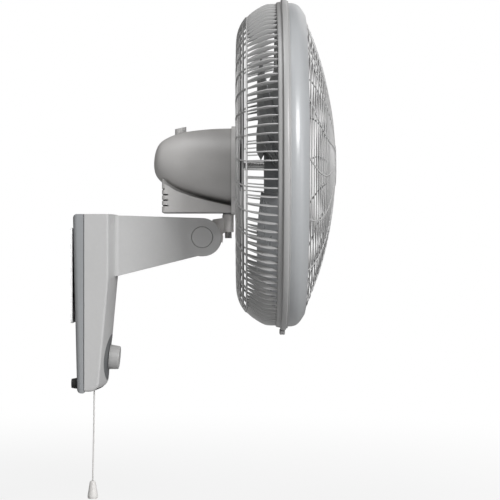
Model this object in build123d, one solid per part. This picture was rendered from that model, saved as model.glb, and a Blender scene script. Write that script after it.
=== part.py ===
from build123d import *
import os
from math import atan, atan2, cos, degrees, hypot, radians, sin, sqrt, tan

# Oscillating wall fan, millimetres. +Z is up, the air leaves towards -Y, and the wall is the plane Y = 0.
# The origin is the centre of the wall plate's four screw holes, on the wall.

# ---- fits ----
FIT_GAP = 0.02  # radial clearance of a pushed-in piece
RUN_GAP = 0.05  # radial clearance of a running fit
FACE_GAP = 0.1  # between flat faces that slide on each other
SEAM_GAP = 0.3  # the line between two mouldings
PART_GAP = 0.3  # between pieces that must not touch
SWEEP_GAP = 0.8  # round a pin or an eye that sweeps through a slot
PAST = 100.0  # how far a cutting piece reaches past what it cuts

# ---- driving dimensions: wall box ----
BASE_WIDTH = 120.0
BASE_TOP = 80.0
BASE_BOTTOM = -151.0
SEAM_Y = -17.8  # parting plane between back case and front housing
SEAM_STEP = 0.9  # the step in the back case that makes the seam a shadow line
BACK_TOP_Y = -2.7  # the back case leans away from the wall towards its bottom
BACK_BOTTOM_Y = -8.2
BACK_DROP = 2.0  # how far the back case reaches below the front housing
FRONT_EDGE_Y = -49.2  # front face at the side edges, above the bend
FRONT_CROWN = 6.4  # how far the middle of the front face stands proud of its edges
FACE_SLOPE = 5.2  # degrees, the front face leans back below the arm
WALL = 2.5
CORNER_R = 13.0  # bottom front corner
BACK_CORNER_R = 6.0
EDGE_R = 3.0  # long front edges of the housing and of the arm
HALF = BASE_WIDTH / 2
FACE_SLOPE_TAN = tan(radians(FACE_SLOPE))
SCREW_R = 1.8
SCREW_BOSS_R = 4.5
SCREW_TIP_Y = -36.0
SCREW_HEAD_R = 3.4
SCREW_HEAD_T = 2.0
SCREW_SPOTS = [(x, z) for x in (-HALF + 12, HALF - 12) for z in (BASE_TOP - 14, BASE_BOTTOM + 32)]
FLANGE_HALF = HALF - 20  # half width of the arm bracket's foot
FLANGE_RIM = 6.0  # from the foot's side to its screws
FOOT_PLATE_SPOTS = [(side * (FLANGE_HALF - FLANGE_RIM), z) for side in (-1, 1) for z in (62.0, 6.0)]

# ---- driving dimensions: wall plate and feet ----
PLATE_T = 2.0
PLATE_WIDTH = 116.0
PLATE_HEIGHT = 124.0
PLATE_CORNER_R = 6.0
HOLES_X = 70.0
HOLES_Z = 100.0
HOLE_R = 2.6
HOOK_SPOTS = (-24.0, 24.0)
HOOK_Z = 40.0
HOOK_W = 12.0
HOOK_H = 8.0
FOOT_R = 7.2
FOOT_Z = -141.0
FOOT_X = 46.0
FOOT_STEM_R = 3.0
GROMMET_R = 4.0
GROMMET_X = 30.0
GROMMET_Z = -112.0

# ---- driving dimensions: arm and tilt joint ----
PIVOT_Y = -169.8
PIVOT_Z = 50.1
NOSE_R = 25.4
ARM_WIDTH = 44.0
ARM_SKIN = 3.6
ARM_ROOT_Z = -3.2
ROOT_R = 6.5
CAP_R = 14.1
CAP_T = 1.8
CAP_WALL = 2.0
CAP_CHAMFER = 0.7
CHEEK_T = 3.2
CHEEK_SIDE = 1.7  # room between a cheek and the wall of the arm's hollow
CHEEK_R = 22.0
HUB_R = 24.9
CRESCENT_R = 27.6  # the neck's web reaches this far round the front of the nose
CRESCENT_ANGLES = (-15, 0, 15, 30, 45, 60)
HUB_EDGE = 1.2
NECK_WEB = 9.0
WASHER_T = 0.8
WASHER_R = 19.0
BOLT_R = 3.0
BOLT_HEAD_R = 7.0
BOLT_HEAD_T = 2.6
FLANGE_T = 3.0  # the bracket's foot on the back case
SLIT_HALF = ARM_WIDTH / 2 - ARM_SKIN  # half width of the arm's hollow, and of the slot in its nose
CHEEK_OUT = SLIT_HALF - CHEEK_SIDE
CHEEK_IN = CHEEK_OUT - CHEEK_T
HUB_WIDTH = 2 * (CHEEK_IN - WASHER_T - FACE_GAP)
CHEEK_GAP = ARM_WIDTH / 2 - CAP_T - CHEEK_OUT - FIT_GAP
BRACKET_Y = SEAM_Y - FIT_GAP

# ---- driving dimensions: head shell ----
AXIS_Z = 146.0
SHELL = 2.2
SKIRT_HALF = 34.0
SKIRT_REAR_Y = -117.2
SKIRT_BOTTOM = 82.6
SKIRT_CORNER_R = 5.0
COLLAR_BACK_Y = -208.6
COLLAR_FRONT_Y = -214.6
COLLAR_LIP = 2.6  # how far the collar plate stands proud of cover and skirt
COLLAR_BOTTOM = 80.8
SLOT_PITCH = 7.2
SLOT_H = 1.8
SLOT_TOP_Z = 113.1
SLOT_WRAPS = (3.6, 8.5, 8.5, 8.5)  # how far each vent slot runs round the rear corners
# The cover is turned about an axis of its own that climbs to the rear: (distance from the front, radius).
COVER_PROFILE = [(0.0, 52.4), (31.0, 48.4), (53.4, 43.9), (72.8, 38.4), (88.6, 30.6), (97.0, 23.8),
                 (101.4, 16.0), (103.2, 8.0), (103.7, 0.0)]
COVER_FRONT_Z = 143.3
COVER_CLIMB = 0.105
LEDGE_TOP = [(SKIRT_REAR_Y, 123.4), (-122.0, 119.5), (-135.6, 111.2), (-155.0, 104.4), (-177.4, 98.2),
             (COLLAR_BACK_Y, 91.0)]  # side view of the skirt's top: (y, z)
COVER_SCREW_TURNS = (0.0, 65.0, -65.0)
COVER_SCREW_Z = COVER_FRONT_Z + COVER_PROFILE[0][1] - SHELL - 3.2
COVER_SCREW_R = 1.5
COVER_SCREW_HEAD_R = 3.0
COVER_POST_R = 4.0

# ---- driving dimensions: oscillation ----
OSC_Y = -204.2
SLEEVE_R = 7.3
SLEEVE_TOP = 80.6
SLEEVE_BOTTOM = 57.1
BUSH_WALL = 1.4
OSC_PIN_R = 4.0
OSC_STUD_R = 2.5
BOSS_TOP = 101.0
BRACKET_HALF = 15.0
SADDLE_HALF = 18.5  # the skirt's ledge rises to the dome between these sides
SADDLE_RISE = 5.0
BRACKET_FRONT_Y = -203.8
BRACKET_REAR_Y = -172.0
NUT_R = 5.2
NUT_BOTTOM = 49.0
LUG_REACH = 14.0
LUG_ANGLE = 20.0  # degrees from +X towards the wall, at rest
LUG_PIN_R = 1.5
LUG_T = 3.6
LUG_TOP = SLEEVE_TOP - 0.4
CRANK_X = 10.0
CRANK_Y = -140.1
CRANK_R = 8.45
CRANK_T = 3.0
SPINDLE_R = 3.0
LINK_LENGTH = 60.5
LINK_T = 2.0
LINK_R = 3.5
SWING = 40.0
FLOOR_TOP = SKIRT_BOTTOM + SHELL
LINK_Z = FLOOR_TOP + 1.0
LINK_TOP = LINK_Z + LINK_T
PIN_TOP = LINK_TOP + 0.6
CRANK_Z = PIN_TOP + PART_GAP
BRACKET_BOTTOM = CRANK_Z + 1.2

# ---- driving dimensions: motor ----
MOTOR_R = 38.0
STATOR_FRONT_Y = -186.0
STATOR_LENGTH = 20.0
BELL_DEPTH = 18.0
BELL_WALL = 2.5
AIR_GAP = 0.4
ROTOR_R = 22.2
ROTOR_LENGTH = 24.0
WINDING_R = 33.5
WINDING_BORE = 24.5
WINDING_DEPTH = 8.0
SHAFT_R = 4.0
SHAFT_REAR_Y = -132.0
SHAFT_FRONT_Y = -290.0
BEARING_R = 9.5
BEARING_W = 6.0
NOSE_BOSS_R = 24.0
NOSE_BOSS_LENGTH = 20.0
FRONT_BELL_Y = STATOR_FRONT_Y - BELL_DEPTH
REAR_BELL_Y = STATOR_FRONT_Y + STATOR_LENGTH + BELL_DEPTH - 2.0
GEARBOX_REAR_Y = -128.0
GEARBOX_SIDES = (-12.0, 18.0)
GEARBOX_BOTTOM = 125.0
GEARBOX_TOP = 162.0
KNOB_R = 7.6
KNOB_TOP = 198.2
KNOB_SEAT = 184.0
KNOB_ROD_R = 2.2
KNOB_LEAN = 12.0  # degrees, the knob's top leans like the cover below it
KNOB_GROOVES = 14

# ---- driving dimensions: guard and blade ----
BLADE_R = 196.0
BLADE_COUNT = 3
BLADE_TURN = 40.0  # degrees that the leaves stand turned at rest
BLADE_MID_Y = -266.0
BLADE_T = 2.2
BLADE_SECTIONS = [  # radius, chord, pitch, skew, camber
    (30.0, 56.0, 40.0, 0.0, 5.0),
    (75.0, 104.0, 27.0, 6.0, 10.0),
    (125.0, 144.0, 19.0, 16.0, 13.0),
    (168.0, 150.0, 15.0, 28.0, 11.0),
    (190.0, 122.0, 13.5, 36.0, 7.0),
    (199.0, 84.0, 13.0, 40.0, 4.0),
]
HUB_CUP_R = 38.0
HUB_FRONT_Y = -282.0
HUB_DEPTH = 30.0
SPINNER_R = 20.0
SPINNER_RISE = 12.0
RIM_R = BLADE_R + 18.8
RIM_Y = -272.0
RIM_T = 2.4
BACK_Y = -214.8
RIB_COUNT = 40
RIB_T = 2.0
RIB_DEPTH = 2.6
CENTRE_R = 48.0
GUARD_DROPS = [(RIM_Y, 0.0), (-259.0, 0.9), (-251.0, 2.1), (-238.2, 10.7), (-227.9, 18.3), (-221.1, 27.7),
               (-216.9, 38.0), (BACK_Y, 54.8)]  # side view of the rear guard: (y, how far inside the rim)
BACK_RINGS = (149.0, 127.0, 105.0, 83.0, 61.0)
RING_T = 2.0
BAND_RISE = 5.2  # the hoop stands this far outside the guards' rims
BAND_LIP = 2.6
BAND_BACK = 4.8  # the band reaches this far behind and in front of the rims' meeting plane
BAND_FRONT = 11.0
BAND_FLANGE = 3.0  # how wide the band's flat front flange is
BAND_GAP = 0.4
HOOP_R = RIM_R + BAND_RISE
CLIP_Y = -276.2
CLIP_HALF = 8.0
CLIP_DROP = 5.6
CLIP_SPLIT = 2.0  # the band is open here and drawn tight by its screw
RIM_SCREW_R = 1.3
CLIP_Z = AXIS_Z - HOOP_R - 2.8
COWL_FRONT_Y = -305.4
COWL_FRONT_R = RIM_R - 15.8
COWL_T = 2.4
DOME_RISE = 41.7
DOME_RIBS = 16
DOME_WIRE = 2.2
DOME_RING_COUNT = 6
BADGE_R = 30.0
DOME_EDGE_R = COWL_FRONT_R - 2.7
DOME_SPHERE = (DOME_EDGE_R ** 2 + DOME_RISE ** 2) / (2 * DOME_RISE)
DOME_APEX_Y = COWL_FRONT_Y - DOME_RISE

# ---- driving dimensions: controls ----
DIAL_Z = -109.5
DIAL_HEIGHT = 61.0
DIAL_WIDTH = 90.0
DIAL_DEPTH = 1.6
DIAL_PLATE_T = 1.0
DIAL_PAST = 12.0  # how far the dial's cutting prism reaches each way
SELECTOR_R = 16.6
SELECTOR_FRONT_R = 15.2
SELECTOR_H = 13.5
SELECTOR_EDGE = 1.2
SWITCH_SIZE = 30.0
SWITCH_DEPTH = 11.0
SWITCH_NECK_R = 4.0
SWITCH_SEAT = DIAL_DEPTH + WALL + FIT_GAP
CORD_Y = -25.2
CORD_R = 1.0
CORD_LENGTH = 140.7
PULL_LENGTH = 23.4
PULL_R = 7.0
PULL_TOP_R = 4.0
PULL_TRAVEL = 12.0
PLUNGER_R = 2.0
BUSH_R = 3.0
BUSH_FLANGE = 1.6
BUSH_PROUD = 1.2
PULL_SWITCH_LOW = BASE_BOTTOM + WALL + PULL_TRAVEL + 3.0
PULL_SWITCH_HALF = 13.0
PULL_SWITCH_H = 30.0
CORD_TOP = PULL_SWITCH_LOW - 1.0
# The cord hangs a little towards the wall, with the faint set of a cord that was packed folded.
CORD_POINTS = [(0.0, CORD_Y, CORD_TOP), (0.0, CORD_Y + 0.2, CORD_TOP - 43.0),
               (0.5, CORD_Y + 1.1, CORD_TOP - 92.0), (0.2, CORD_Y + 2.2, CORD_TOP - CORD_LENGTH)]

MOTOR_AXIS = Axis((0, 0, AXIS_Z), (0, 1, 0))
COVER_AXIS = Axis((0, 0, COVER_FRONT_Z), (0, 1, 0))
LOW = (Align.CENTER, Align.CENTER, Align.MIN)


# ---- helpers ----
def across(points, width, middle=0.0):
    """A side-view outline of (y, z) points, made into a slab of this width across X."""
    face = make_face(Polyline(*points, close=True))
    return Pos(middle, 0, 0) * extrude(Plane.YZ * face, width / 2, both=True)


def along_x(radius, length, y, z, middle=0.0):
    return Pos(middle, y, z) * Rot(0, 90, 0) * Cylinder(radius, length)


def along_y(radius, y0, y1, x=0.0, z=AXIS_Z):
    return Pos(x, (y0 + y1) / 2, z) * Rot(90, 0, 0) * Cylinder(radius, abs(y1 - y0))


def along_z(radius, z0, z1, x=0.0, y=0.0):
    return Pos(x, y, (z0 + z1) / 2) * Cylinder(radius, abs(z1 - z0))


def block(x0, x1, y0, y1, z0, z1):
    return Pos((x0 + x1) / 2, (y0 + y1) / 2, (z0 + z1) / 2) * Box(abs(x1 - x0), abs(y1 - y0), abs(z1 - z0))


def turned(points):
    """A (y, radius) outline turned round the motor axis."""
    face = make_face(Polyline(*[(y, AXIS_Z + r) for y, r in points], close=True))
    return revolve(Plane.YZ * face, MOTOR_AXIS)


def tube_y(outer, inner, y0, y1):
    return turned([(y0, inner), (y0, outer), (y1, outer), (y1, inner)])


# ---- wall unit: cases ----
def face_y(z):
    """The middle of the front face at this height: upright down to the arm's root, leaning back below."""
    return FRONT_EDGE_Y - FRONT_CROWN + max(0.0, ARM_ROOT_Z - z) * FACE_SLOPE_TAN


def back_y(z):
    """The back face of the back case at this height."""
    share = (BASE_TOP - z) / (BASE_TOP - BASE_BOTTOM)
    return BACK_TOP_Y + share * (BACK_BOTTOM_Y - BACK_TOP_Y)


def base_section(z, inset, rear):
    """A level slice of the front housing: flat sides and back, crowned front."""
    half = HALF - inset
    middle = face_y(z) + inset
    edge = middle + FRONT_CROWN
    outline = Polyline((-half, edge), (-half, rear), (half, rear), (half, edge))
    front = ThreePointArc((half, edge), (0, middle), (-half, edge))
    return Plane.XY.offset(z) * make_face([*outline.edges(), front])


def base_block(inset, rear):
    levels = (BASE_TOP - inset, ARM_ROOT_Z, BASE_BOTTOM + inset)
    return loft([base_section(z, inset, rear) for z in levels], ruled=True)


def arm_outline(inset, start):
    """Side view of the arm: a tapering beam that ends in a round nose about the tilt pivot."""
    nose = NOSE_R - inset
    top_start = (start, BASE_TOP - inset)
    top_end = (PIVOT_Y - 1.0, PIVOT_Z + nose)
    lean = atan2(PIVOT_Z - nose - ARM_ROOT_Z - inset, FRONT_EDGE_Y - PIVOT_Y)
    bottom_end = (PIVOT_Y + nose * sin(lean), PIVOT_Z - nose * cos(lean))
    tip = (PIVOT_Y - nose, PIVOT_Z)
    floor = ARM_ROOT_Z + inset
    lines = Polyline(bottom_end, (FRONT_EDGE_Y, floor), (start, floor), top_start, top_end)
    return make_face([*lines.edges(), ThreePointArc(top_end, tip, bottom_end)])


def arm_block(inset, width, start):
    return extrude(Plane.YZ * arm_outline(inset, start), width / 2, both=True)


def dial_plane(lift):
    """The leaning front face at the dial, lifted along its normal."""
    slope = radians(FACE_SLOPE)
    normal = Vector(0, -cos(slope), -sin(slope))
    return Plane(Vector(0, face_y(DIAL_Z), DIAL_Z) + normal * lift, x_dir=(1, 0, 0), z_dir=normal)


def dial_prism(grow):
    """An oval prism through the front wall where the dial is, grown all round by this much."""
    oval = Ellipse(DIAL_WIDTH / 2 + grow, DIAL_HEIGHT / 2 + grow)
    return extrude(dial_plane(DIAL_PAST) * oval, -2 * DIAL_PAST)


def front_housing():
    outer = base_block(0.0, SEAM_Y - SEAM_GAP / 2)
    floor = outer.faces().sort_by(Axis.Z)[0]
    outer = fillet([e for e in floor.edges() if e.center().Y < FRONT_EDGE_Y / 1.5], CORNER_R)
    corners = [e for e in outer.edges() if abs(abs(e.center().X) - HALF) < 0.05]
    outer = fillet([e for e in corners if e.center().Y < SEAM_Y - 15 and e.length > HALF], EDGE_R)
    outer += arm_block(0.0, ARM_WIDTH, SEAM_Y - 6)
    root = [
        e for e in outer.edges().filter_by(Axis.Z)
        if abs(abs(e.center().X) - ARM_WIDTH / 2) < 0.5 and abs(e.center().Y - face_y(BASE_TOP)) < 4
    ]
    outer = fillet(root, ROOT_R)
    hollow = base_block(WALL, SEAM_Y + 5)
    hollow += arm_block(WALL, 2 * SLIT_HALF, SEAM_Y)
    reach = CRESCENT_R + 1
    low, high = PIVOT_Z - reach, PIVOT_Z + reach
    rear_y, front_y = PIVOT_Y + reach + PART_GAP, PIVOT_Y - reach
    mouth = across([(rear_y, PIVOT_Z), (PIVOT_Y, high), (front_y, high), (front_y, low), (PIVOT_Y, low)],
                   2 * SLIT_HALF)
    mouth += along_x(reach, 2 * SLIT_HALF, PIVOT_Y, PIVOT_Z)
    body = outer - hollow - mouth
    for x, z in SCREW_SPOTS:
        body += along_y(SCREW_BOSS_R, SEAM_Y - SEAM_GAP / 2, face_y(z) + FRONT_CROWN / 2, x, z) & outer
        body -= along_y(SCREW_R + RUN_GAP, SEAM_Y, SCREW_TIP_Y - 1, x, z)
    body -= along_x(CAP_R + PART_GAP / 2, ARM_WIDTH + 2, PIVOT_Y, PIVOT_Z)
    floor = base_block(DIAL_DEPTH, SEAM_Y + 5)
    body += dial_prism(WALL) & (floor - base_block(DIAL_DEPTH + WALL, SEAM_Y + 5))
    body -= dial_prism(0.0) - floor
    body -= extrude(dial_plane(FIT_GAP - SWITCH_SEAT) * Rectangle(SWITCH_SIZE + 1, SWITCH_SIZE + 1), -WALL)
    body -= extrude(dial_plane(0) * Circle(SWITCH_NECK_R + PART_GAP), -8)
    return body - along_z(BUSH_R + FIT_GAP, BASE_BOTTOM - 5, BASE_BOTTOM + 5, 0, CORD_Y)


def back_outline(inset, rear_inset):
    top = BASE_TOP - inset
    bottom = BASE_BOTTOM - BACK_DROP + inset
    rear = [(BACK_TOP_Y - rear_inset, top), (BACK_BOTTOM_Y - rear_inset, bottom)]
    return [(SEAM_Y, top), *rear, (SEAM_Y, bottom)]


def back_case():
    outer = across(back_outline(0.0, 0.0), BASE_WIDTH)
    rear_face = outer.faces().sort_by(Axis.Y)[-1]
    outer = fillet(rear_face.edges(), BACK_CORNER_R)
    body = outer - across(back_outline(WALL, WALL), BASE_WIDTH - 2 * WALL)
    low, side = BASE_BOTTOM - BACK_DROP + SEAM_STEP, HALF - SEAM_STEP
    step = block(-PAST, PAST, SEAM_Y, SEAM_Y + SEAM_STEP, BASE_BOTTOM - PAST, BASE_TOP + PAST)
    body -= step - block(-side, side, SEAM_Y - 1, SEAM_Y + 2, low, BASE_TOP - SEAM_STEP)
    for x, z in SCREW_SPOTS + FOOT_PLATE_SPOTS:
        body += along_y(SCREW_BOSS_R, SEAM_Y, back_y(z) - WALL / 2, x, z)
    for x, z in FOOT_PLATE_SPOTS:
        body -= along_y(SCREW_R + RUN_GAP, back_y(z) - WALL - 2, SEAM_Y - 1, x, z)
    for x, z in SCREW_SPOTS:
        body -= along_y(SCREW_R + RUN_GAP, 0, SEAM_Y - 1, x, z)
        body -= along_y(SCREW_HEAD_R + PART_GAP, 0, back_y(z) - SCREW_HEAD_T, x, z)
    seat = HOOK_Z + PLATE_T + FIT_GAP
    for x in HOOK_SPOTS:
        left, right = x - HOOK_W / 2 - 1, x + HOOK_W / 2 + 1
        body -= block(left, right, 0, back_y(seat) - WALL - 1, seat - HOOK_H - PLATE_T, seat)
    for x in (-FOOT_X, FOOT_X):
        body -= along_y(FOOT_STEM_R + FIT_GAP, 0, SEAM_Y + 2, x, FOOT_Z)
    body -= along_y(GROMMET_R + FIT_GAP, 0, back_y(GROMMET_Z) - WALL - 1, GROMMET_X, GROMMET_Z)
    return body


def wall_plate():
    plate = block(-PLATE_WIDTH / 2, PLATE_WIDTH / 2, 0, -PLATE_T, -PLATE_HEIGHT / 2, PLATE_HEIGHT / 2)
    plate = fillet(plate.edges().filter_by(Axis.Y), PLATE_CORNER_R)
    for x in (-HOLES_X / 2, HOLES_X / 2):
        for z in (-HOLES_Z / 2, HOLES_Z / 2):
            plate -= along_y(HOLE_R, 1, -PLATE_T - 1, x, z)
    for x in HOOK_SPOTS:
        inside = back_y(HOOK_Z) - WALL - PART_GAP
        left, right = x - HOOK_W / 2, x + HOOK_W / 2
        stem = block(left, right, -PLATE_T + 0.5, inside - PLATE_T, HOOK_Z, HOOK_Z + PLATE_T)
        lip = block(left, right, inside, inside - PLATE_T, HOOK_Z, HOOK_Z + HOOK_H)
        plate += stem + lip
    return plate


def housing_screws():
    group = []
    for x, z in SCREW_SPOTS:
        head_y = back_y(z) - PART_GAP
        head = along_y(SCREW_HEAD_R, head_y, back_y(z) - SCREW_HEAD_T, x, z)
        group.append(head + along_y(SCREW_R, head_y, SCREW_TIP_Y, x, z))
    return Compound(children=group)


def rubber_feet():
    group = []
    for x in (-FOOT_X, FOOT_X):
        seat = back_y(FOOT_Z)
        pad = Pos(x, -0.2, FOOT_Z) * Rot(90, 0, 0) * Cone(FOOT_R - 1.2, FOOT_R, -seat - 1.4, align=LOW)
        stem = along_y(FOOT_STEM_R, -1.0, SEAM_Y + 4, x, FOOT_Z)
        group.append(pad + stem)
    return Compound(children=group)


# ---- arm: bracket, bolt, caps ----
def arm_bracket():
    foot = block(-FLANGE_HALF, FLANGE_HALF, BRACKET_Y, BRACKET_Y - FLANGE_T, -2, 68)
    for x, z in FOOT_PLATE_SPOTS:
        foot -= along_y(SCREW_R + RUN_GAP, BRACKET_Y + 1, BRACKET_Y - FLANGE_T - 1, x, z)
    rear = BRACKET_Y - FLANGE_T / 2
    beam = [(rear, 66), (PIVOT_Y, PIVOT_Z + 16), (PIVOT_Y, PIVOT_Z - 16), (rear, 6)]
    body = foot
    for side in (-1, 1):
        middle = side * (CHEEK_IN + CHEEK_OUT) / 2
        cheek = across(beam, CHEEK_T, middle) + along_x(CHEEK_R, CHEEK_T, PIVOT_Y, PIVOT_Z, middle)
        body += cheek - along_x(BOLT_R + FIT_GAP, PAST, PIVOT_Y, PIVOT_Z)
    web = across([(rear, 36), (PIVOT_Y + 42, 46), (PIVOT_Y + 42, 42), (rear, 32)], 2 * CHEEK_IN + CHEEK_T)
    return body + web


def bracket_screws():
    """Four screws that hold the bracket's foot to the back case's bosses."""
    group = []
    for x, z in FOOT_PLATE_SPOTS:
        seat = BRACKET_Y - FLANGE_T - FIT_GAP
        head = along_y(SCREW_HEAD_R, seat, seat - SCREW_HEAD_T, x, z)
        group.append(head + along_y(SCREW_R, seat - 1, back_y(z) - WALL - 3, x, z))
    return Compound(children=group)


def pivot_caps():
    """Push-in caps with a fine bevel, each on a short tube that bears on the bracket's cheek."""
    caps = []
    for side in (-1, 1):
        outer = side * ARM_WIDTH / 2
        cap = along_x(CAP_R, CAP_T, PIVOT_Y, PIVOT_Z, outer - side * CAP_T / 2)
        rim = cap.edges().filter_by(GeomType.CIRCLE).sort_by(Axis.X)[-1 if side > 0 else 0]
        cap = chamfer(rim, CAP_CHAMFER)
        tube = along_x(CAP_R, CHEEK_GAP, PIVOT_Y, PIVOT_Z, outer - side * (CAP_T + CHEEK_GAP / 2))
        caps.append(cap + (tube - along_x(CAP_R - CAP_WALL, PAST, PIVOT_Y, PIVOT_Z)))
    return Compound(children=caps)


def tilt_bolt():
    head = along_x(BOLT_HEAD_R, BOLT_HEAD_T, PIVOT_Y, PIVOT_Z, -CHEEK_OUT - FIT_GAP - BOLT_HEAD_T / 2)
    return head + along_x(BOLT_R, 2 * CHEEK_OUT + 4, PIVOT_Y, PIVOT_Z, 0.5)


def tilt_nut():
    nut = Rot(0, 90, 0) * extrude(RegularPolygon(6.0, 6), 2.6)
    nut = Pos(CHEEK_OUT + FIT_GAP, PIVOT_Y, PIVOT_Z) * nut
    return nut - along_x(BOLT_R + FIT_GAP, PAST, PIVOT_Y, PIVOT_Z)


def friction_washers():
    group = []
    for side in (-1, 1):
        middle = side * (CHEEK_IN - WASHER_T / 2)
        disc = along_x(WASHER_R, WASHER_T, PIVOT_Y, PIVOT_Z, middle)
        group.append(disc - along_x(BOLT_R + FIT_GAP, PAST, PIVOT_Y, PIVOT_Z))
    return Compound(children=group)


# ---- tilt neck ----
def lug_point(reach, swing=0.0):
    angle = radians(LUG_ANGLE - swing)
    return reach * cos(angle), OSC_Y + reach * sin(angle)


def tilt_neck():
    hub = along_x(HUB_R, HUB_WIDTH, PIVOT_Y, PIVOT_Z)
    hub = chamfer(hub.edges().filter_by(GeomType.CIRCLE), HUB_EDGE)
    sleeve = along_z(SLEEVE_R, SLEEVE_BOTTOM, SLEEVE_TOP, 0, OSC_Y)
    crescent = [(PIVOT_Y - CRESCENT_R * cos(radians(a)), PIVOT_Z + CRESCENT_R * sin(radians(a)))
                for a in CRESCENT_ANGLES]
    web = across([(PIVOT_Y, PIVOT_Z - 6), (OSC_Y, SLEEVE_BOTTOM + 1), (OSC_Y, SLEEVE_TOP - 3.5),
                  crescent[-1]], NECK_WEB)
    web += across([(PIVOT_Y, PIVOT_Z), *crescent], NECK_WEB)
    x, y = lug_point(LUG_REACH)
    lug = along_z(LINK_R, LUG_TOP - LUG_T, LUG_TOP, x, y)
    middle = Pos(x / 2, (y + OSC_Y) / 2, LUG_TOP - LUG_T / 2) * Rot(0, 0, LUG_ANGLE)
    reach = middle * Box(LUG_REACH, 2 * LINK_R, LUG_T)
    pin = along_z(LUG_PIN_R, LUG_TOP - 1, PIN_TOP, x, y)
    body = hub + sleeve + web + lug + reach + pin
    body -= along_z(OSC_PIN_R + RUN_GAP + BUSH_WALL + FIT_GAP, SLEEVE_BOTTOM - 1, SLEEVE_TOP + 1, 0, OSC_Y)
    return body - along_x(BOLT_R + RUN_GAP, PAST, PIVOT_Y, PIVOT_Z)


def osc_bush():
    outer = along_z(OSC_PIN_R + RUN_GAP + BUSH_WALL, SLEEVE_BOTTOM, SLEEVE_TOP, 0, OSC_Y)
    return outer - along_z(OSC_PIN_R + RUN_GAP, 0, SLEEVE_TOP + PAST, 0, OSC_Y)


# ---- oscillation drive in the head ----
def crank_pin_point():
    """Where the crank pin stands at rest: LINK_LENGTH from the lug pin and CRANK_R from the crank axis."""
    x, y = lug_point(LUG_REACH)
    dx, dy = x - CRANK_X, y - CRANK_Y
    span = hypot(dx, dy)
    share = (span * span + CRANK_R * CRANK_R - LINK_LENGTH * LINK_LENGTH) / (2 * span * CRANK_R)
    angle = atan2(dy, dx) + atan2(sqrt(1 - share * share), share)
    return CRANK_X + CRANK_R * cos(angle), CRANK_Y + CRANK_R * sin(angle)


def osc_bracket():
    """A steel shoe under the motor with the bore that the oscillation pin is pressed into."""
    top = AXIS_Z - MOTOR_R + 5
    body = block(-BRACKET_HALF, BRACKET_HALF, BRACKET_FRONT_Y, BRACKET_REAR_Y, BRACKET_BOTTOM, top)
    body -= along_y(MOTOR_R + FIT_GAP, BRACKET_FRONT_Y - PAST, BRACKET_REAR_Y + PAST)
    body += along_z(SLEEVE_R, SLEEVE_TOP + FACE_GAP, BOSS_TOP, 0, OSC_Y)
    return body - along_z(OSC_PIN_R + FIT_GAP, 0, BOSS_TOP + 1, 0, OSC_Y)


def osc_shaft():
    top = along_z(OSC_PIN_R, SLEEVE_BOTTOM - PART_GAP, BOSS_TOP - 1, 0, OSC_Y)
    return top + along_z(OSC_STUD_R, NUT_BOTTOM + 0.5, SLEEVE_BOTTOM, 0, OSC_Y)


def osc_nut():
    height = SLEEVE_BOTTOM - PART_GAP - FIT_GAP - NUT_BOTTOM
    nut = Pos(0, OSC_Y, NUT_BOTTOM) * extrude(RegularPolygon(NUT_R, 6), height)
    return nut - along_z(OSC_STUD_R + FIT_GAP, 0, 100, 0, OSC_Y)


def gearbox_case():
    left, right = GEARBOX_SIDES
    body = block(left, right, REAR_BELL_Y + FIT_GAP, GEARBOX_REAR_Y, GEARBOX_BOTTOM, GEARBOX_TOP)
    body = fillet(body.edges().filter_by(Axis.Y), 5)
    body -= along_y(SHAFT_R + PART_GAP, REAR_BELL_Y - 5, SHAFT_REAR_Y + 1)
    body -= along_z(SPINDLE_R + RUN_GAP, GEARBOX_BOTTOM - 1, GEARBOX_BOTTOM + 14, CRANK_X, CRANK_Y)
    return body - along_z(KNOB_ROD_R + RUN_GAP, GEARBOX_TOP - 13, GEARBOX_TOP + 1, CRANK_X, CRANK_Y)


def osc_crank():
    px, py = crank_pin_point()
    turn = degrees(atan2(py - CRANK_Y, px - CRANK_X))
    middle = Pos((px + CRANK_X) / 2, (py + CRANK_Y) / 2, CRANK_Z + CRANK_T / 2) * Rot(0, 0, turn)
    arm = middle * Box(CRANK_R, 2 * LINK_R, CRANK_T)
    arm += along_z(LINK_R + 1.5, CRANK_Z, CRANK_Z + CRANK_T, CRANK_X, CRANK_Y)
    arm += along_z(LINK_R, CRANK_Z, CRANK_Z + CRANK_T, px, py)
    return arm + along_z(SPINDLE_R, CRANK_Z, GEARBOX_BOTTOM + 13, CRANK_X, CRANK_Y)


def osc_link():
    qx, qy = lug_point(LUG_REACH)
    px, py = crank_pin_point()
    turn = degrees(atan2(py - qy, px - qx))
    middle = Pos((px + qx) / 2, (py + qy) / 2, LINK_Z + LINK_T / 2) * Rot(0, 0, turn)
    bar = middle * Box(LINK_LENGTH, 5, LINK_T)
    body = bar + along_z(LINK_R, LINK_Z, LINK_TOP, qx, qy) + along_z(LINK_R, LINK_Z, LINK_TOP, px, py)
    body -= along_z(LUG_PIN_R + RUN_GAP, 0, PIN_TOP + PAST, qx, qy)
    return body - along_z(LUG_PIN_R + RUN_GAP, 0, PIN_TOP + PAST, px, py)


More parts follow.
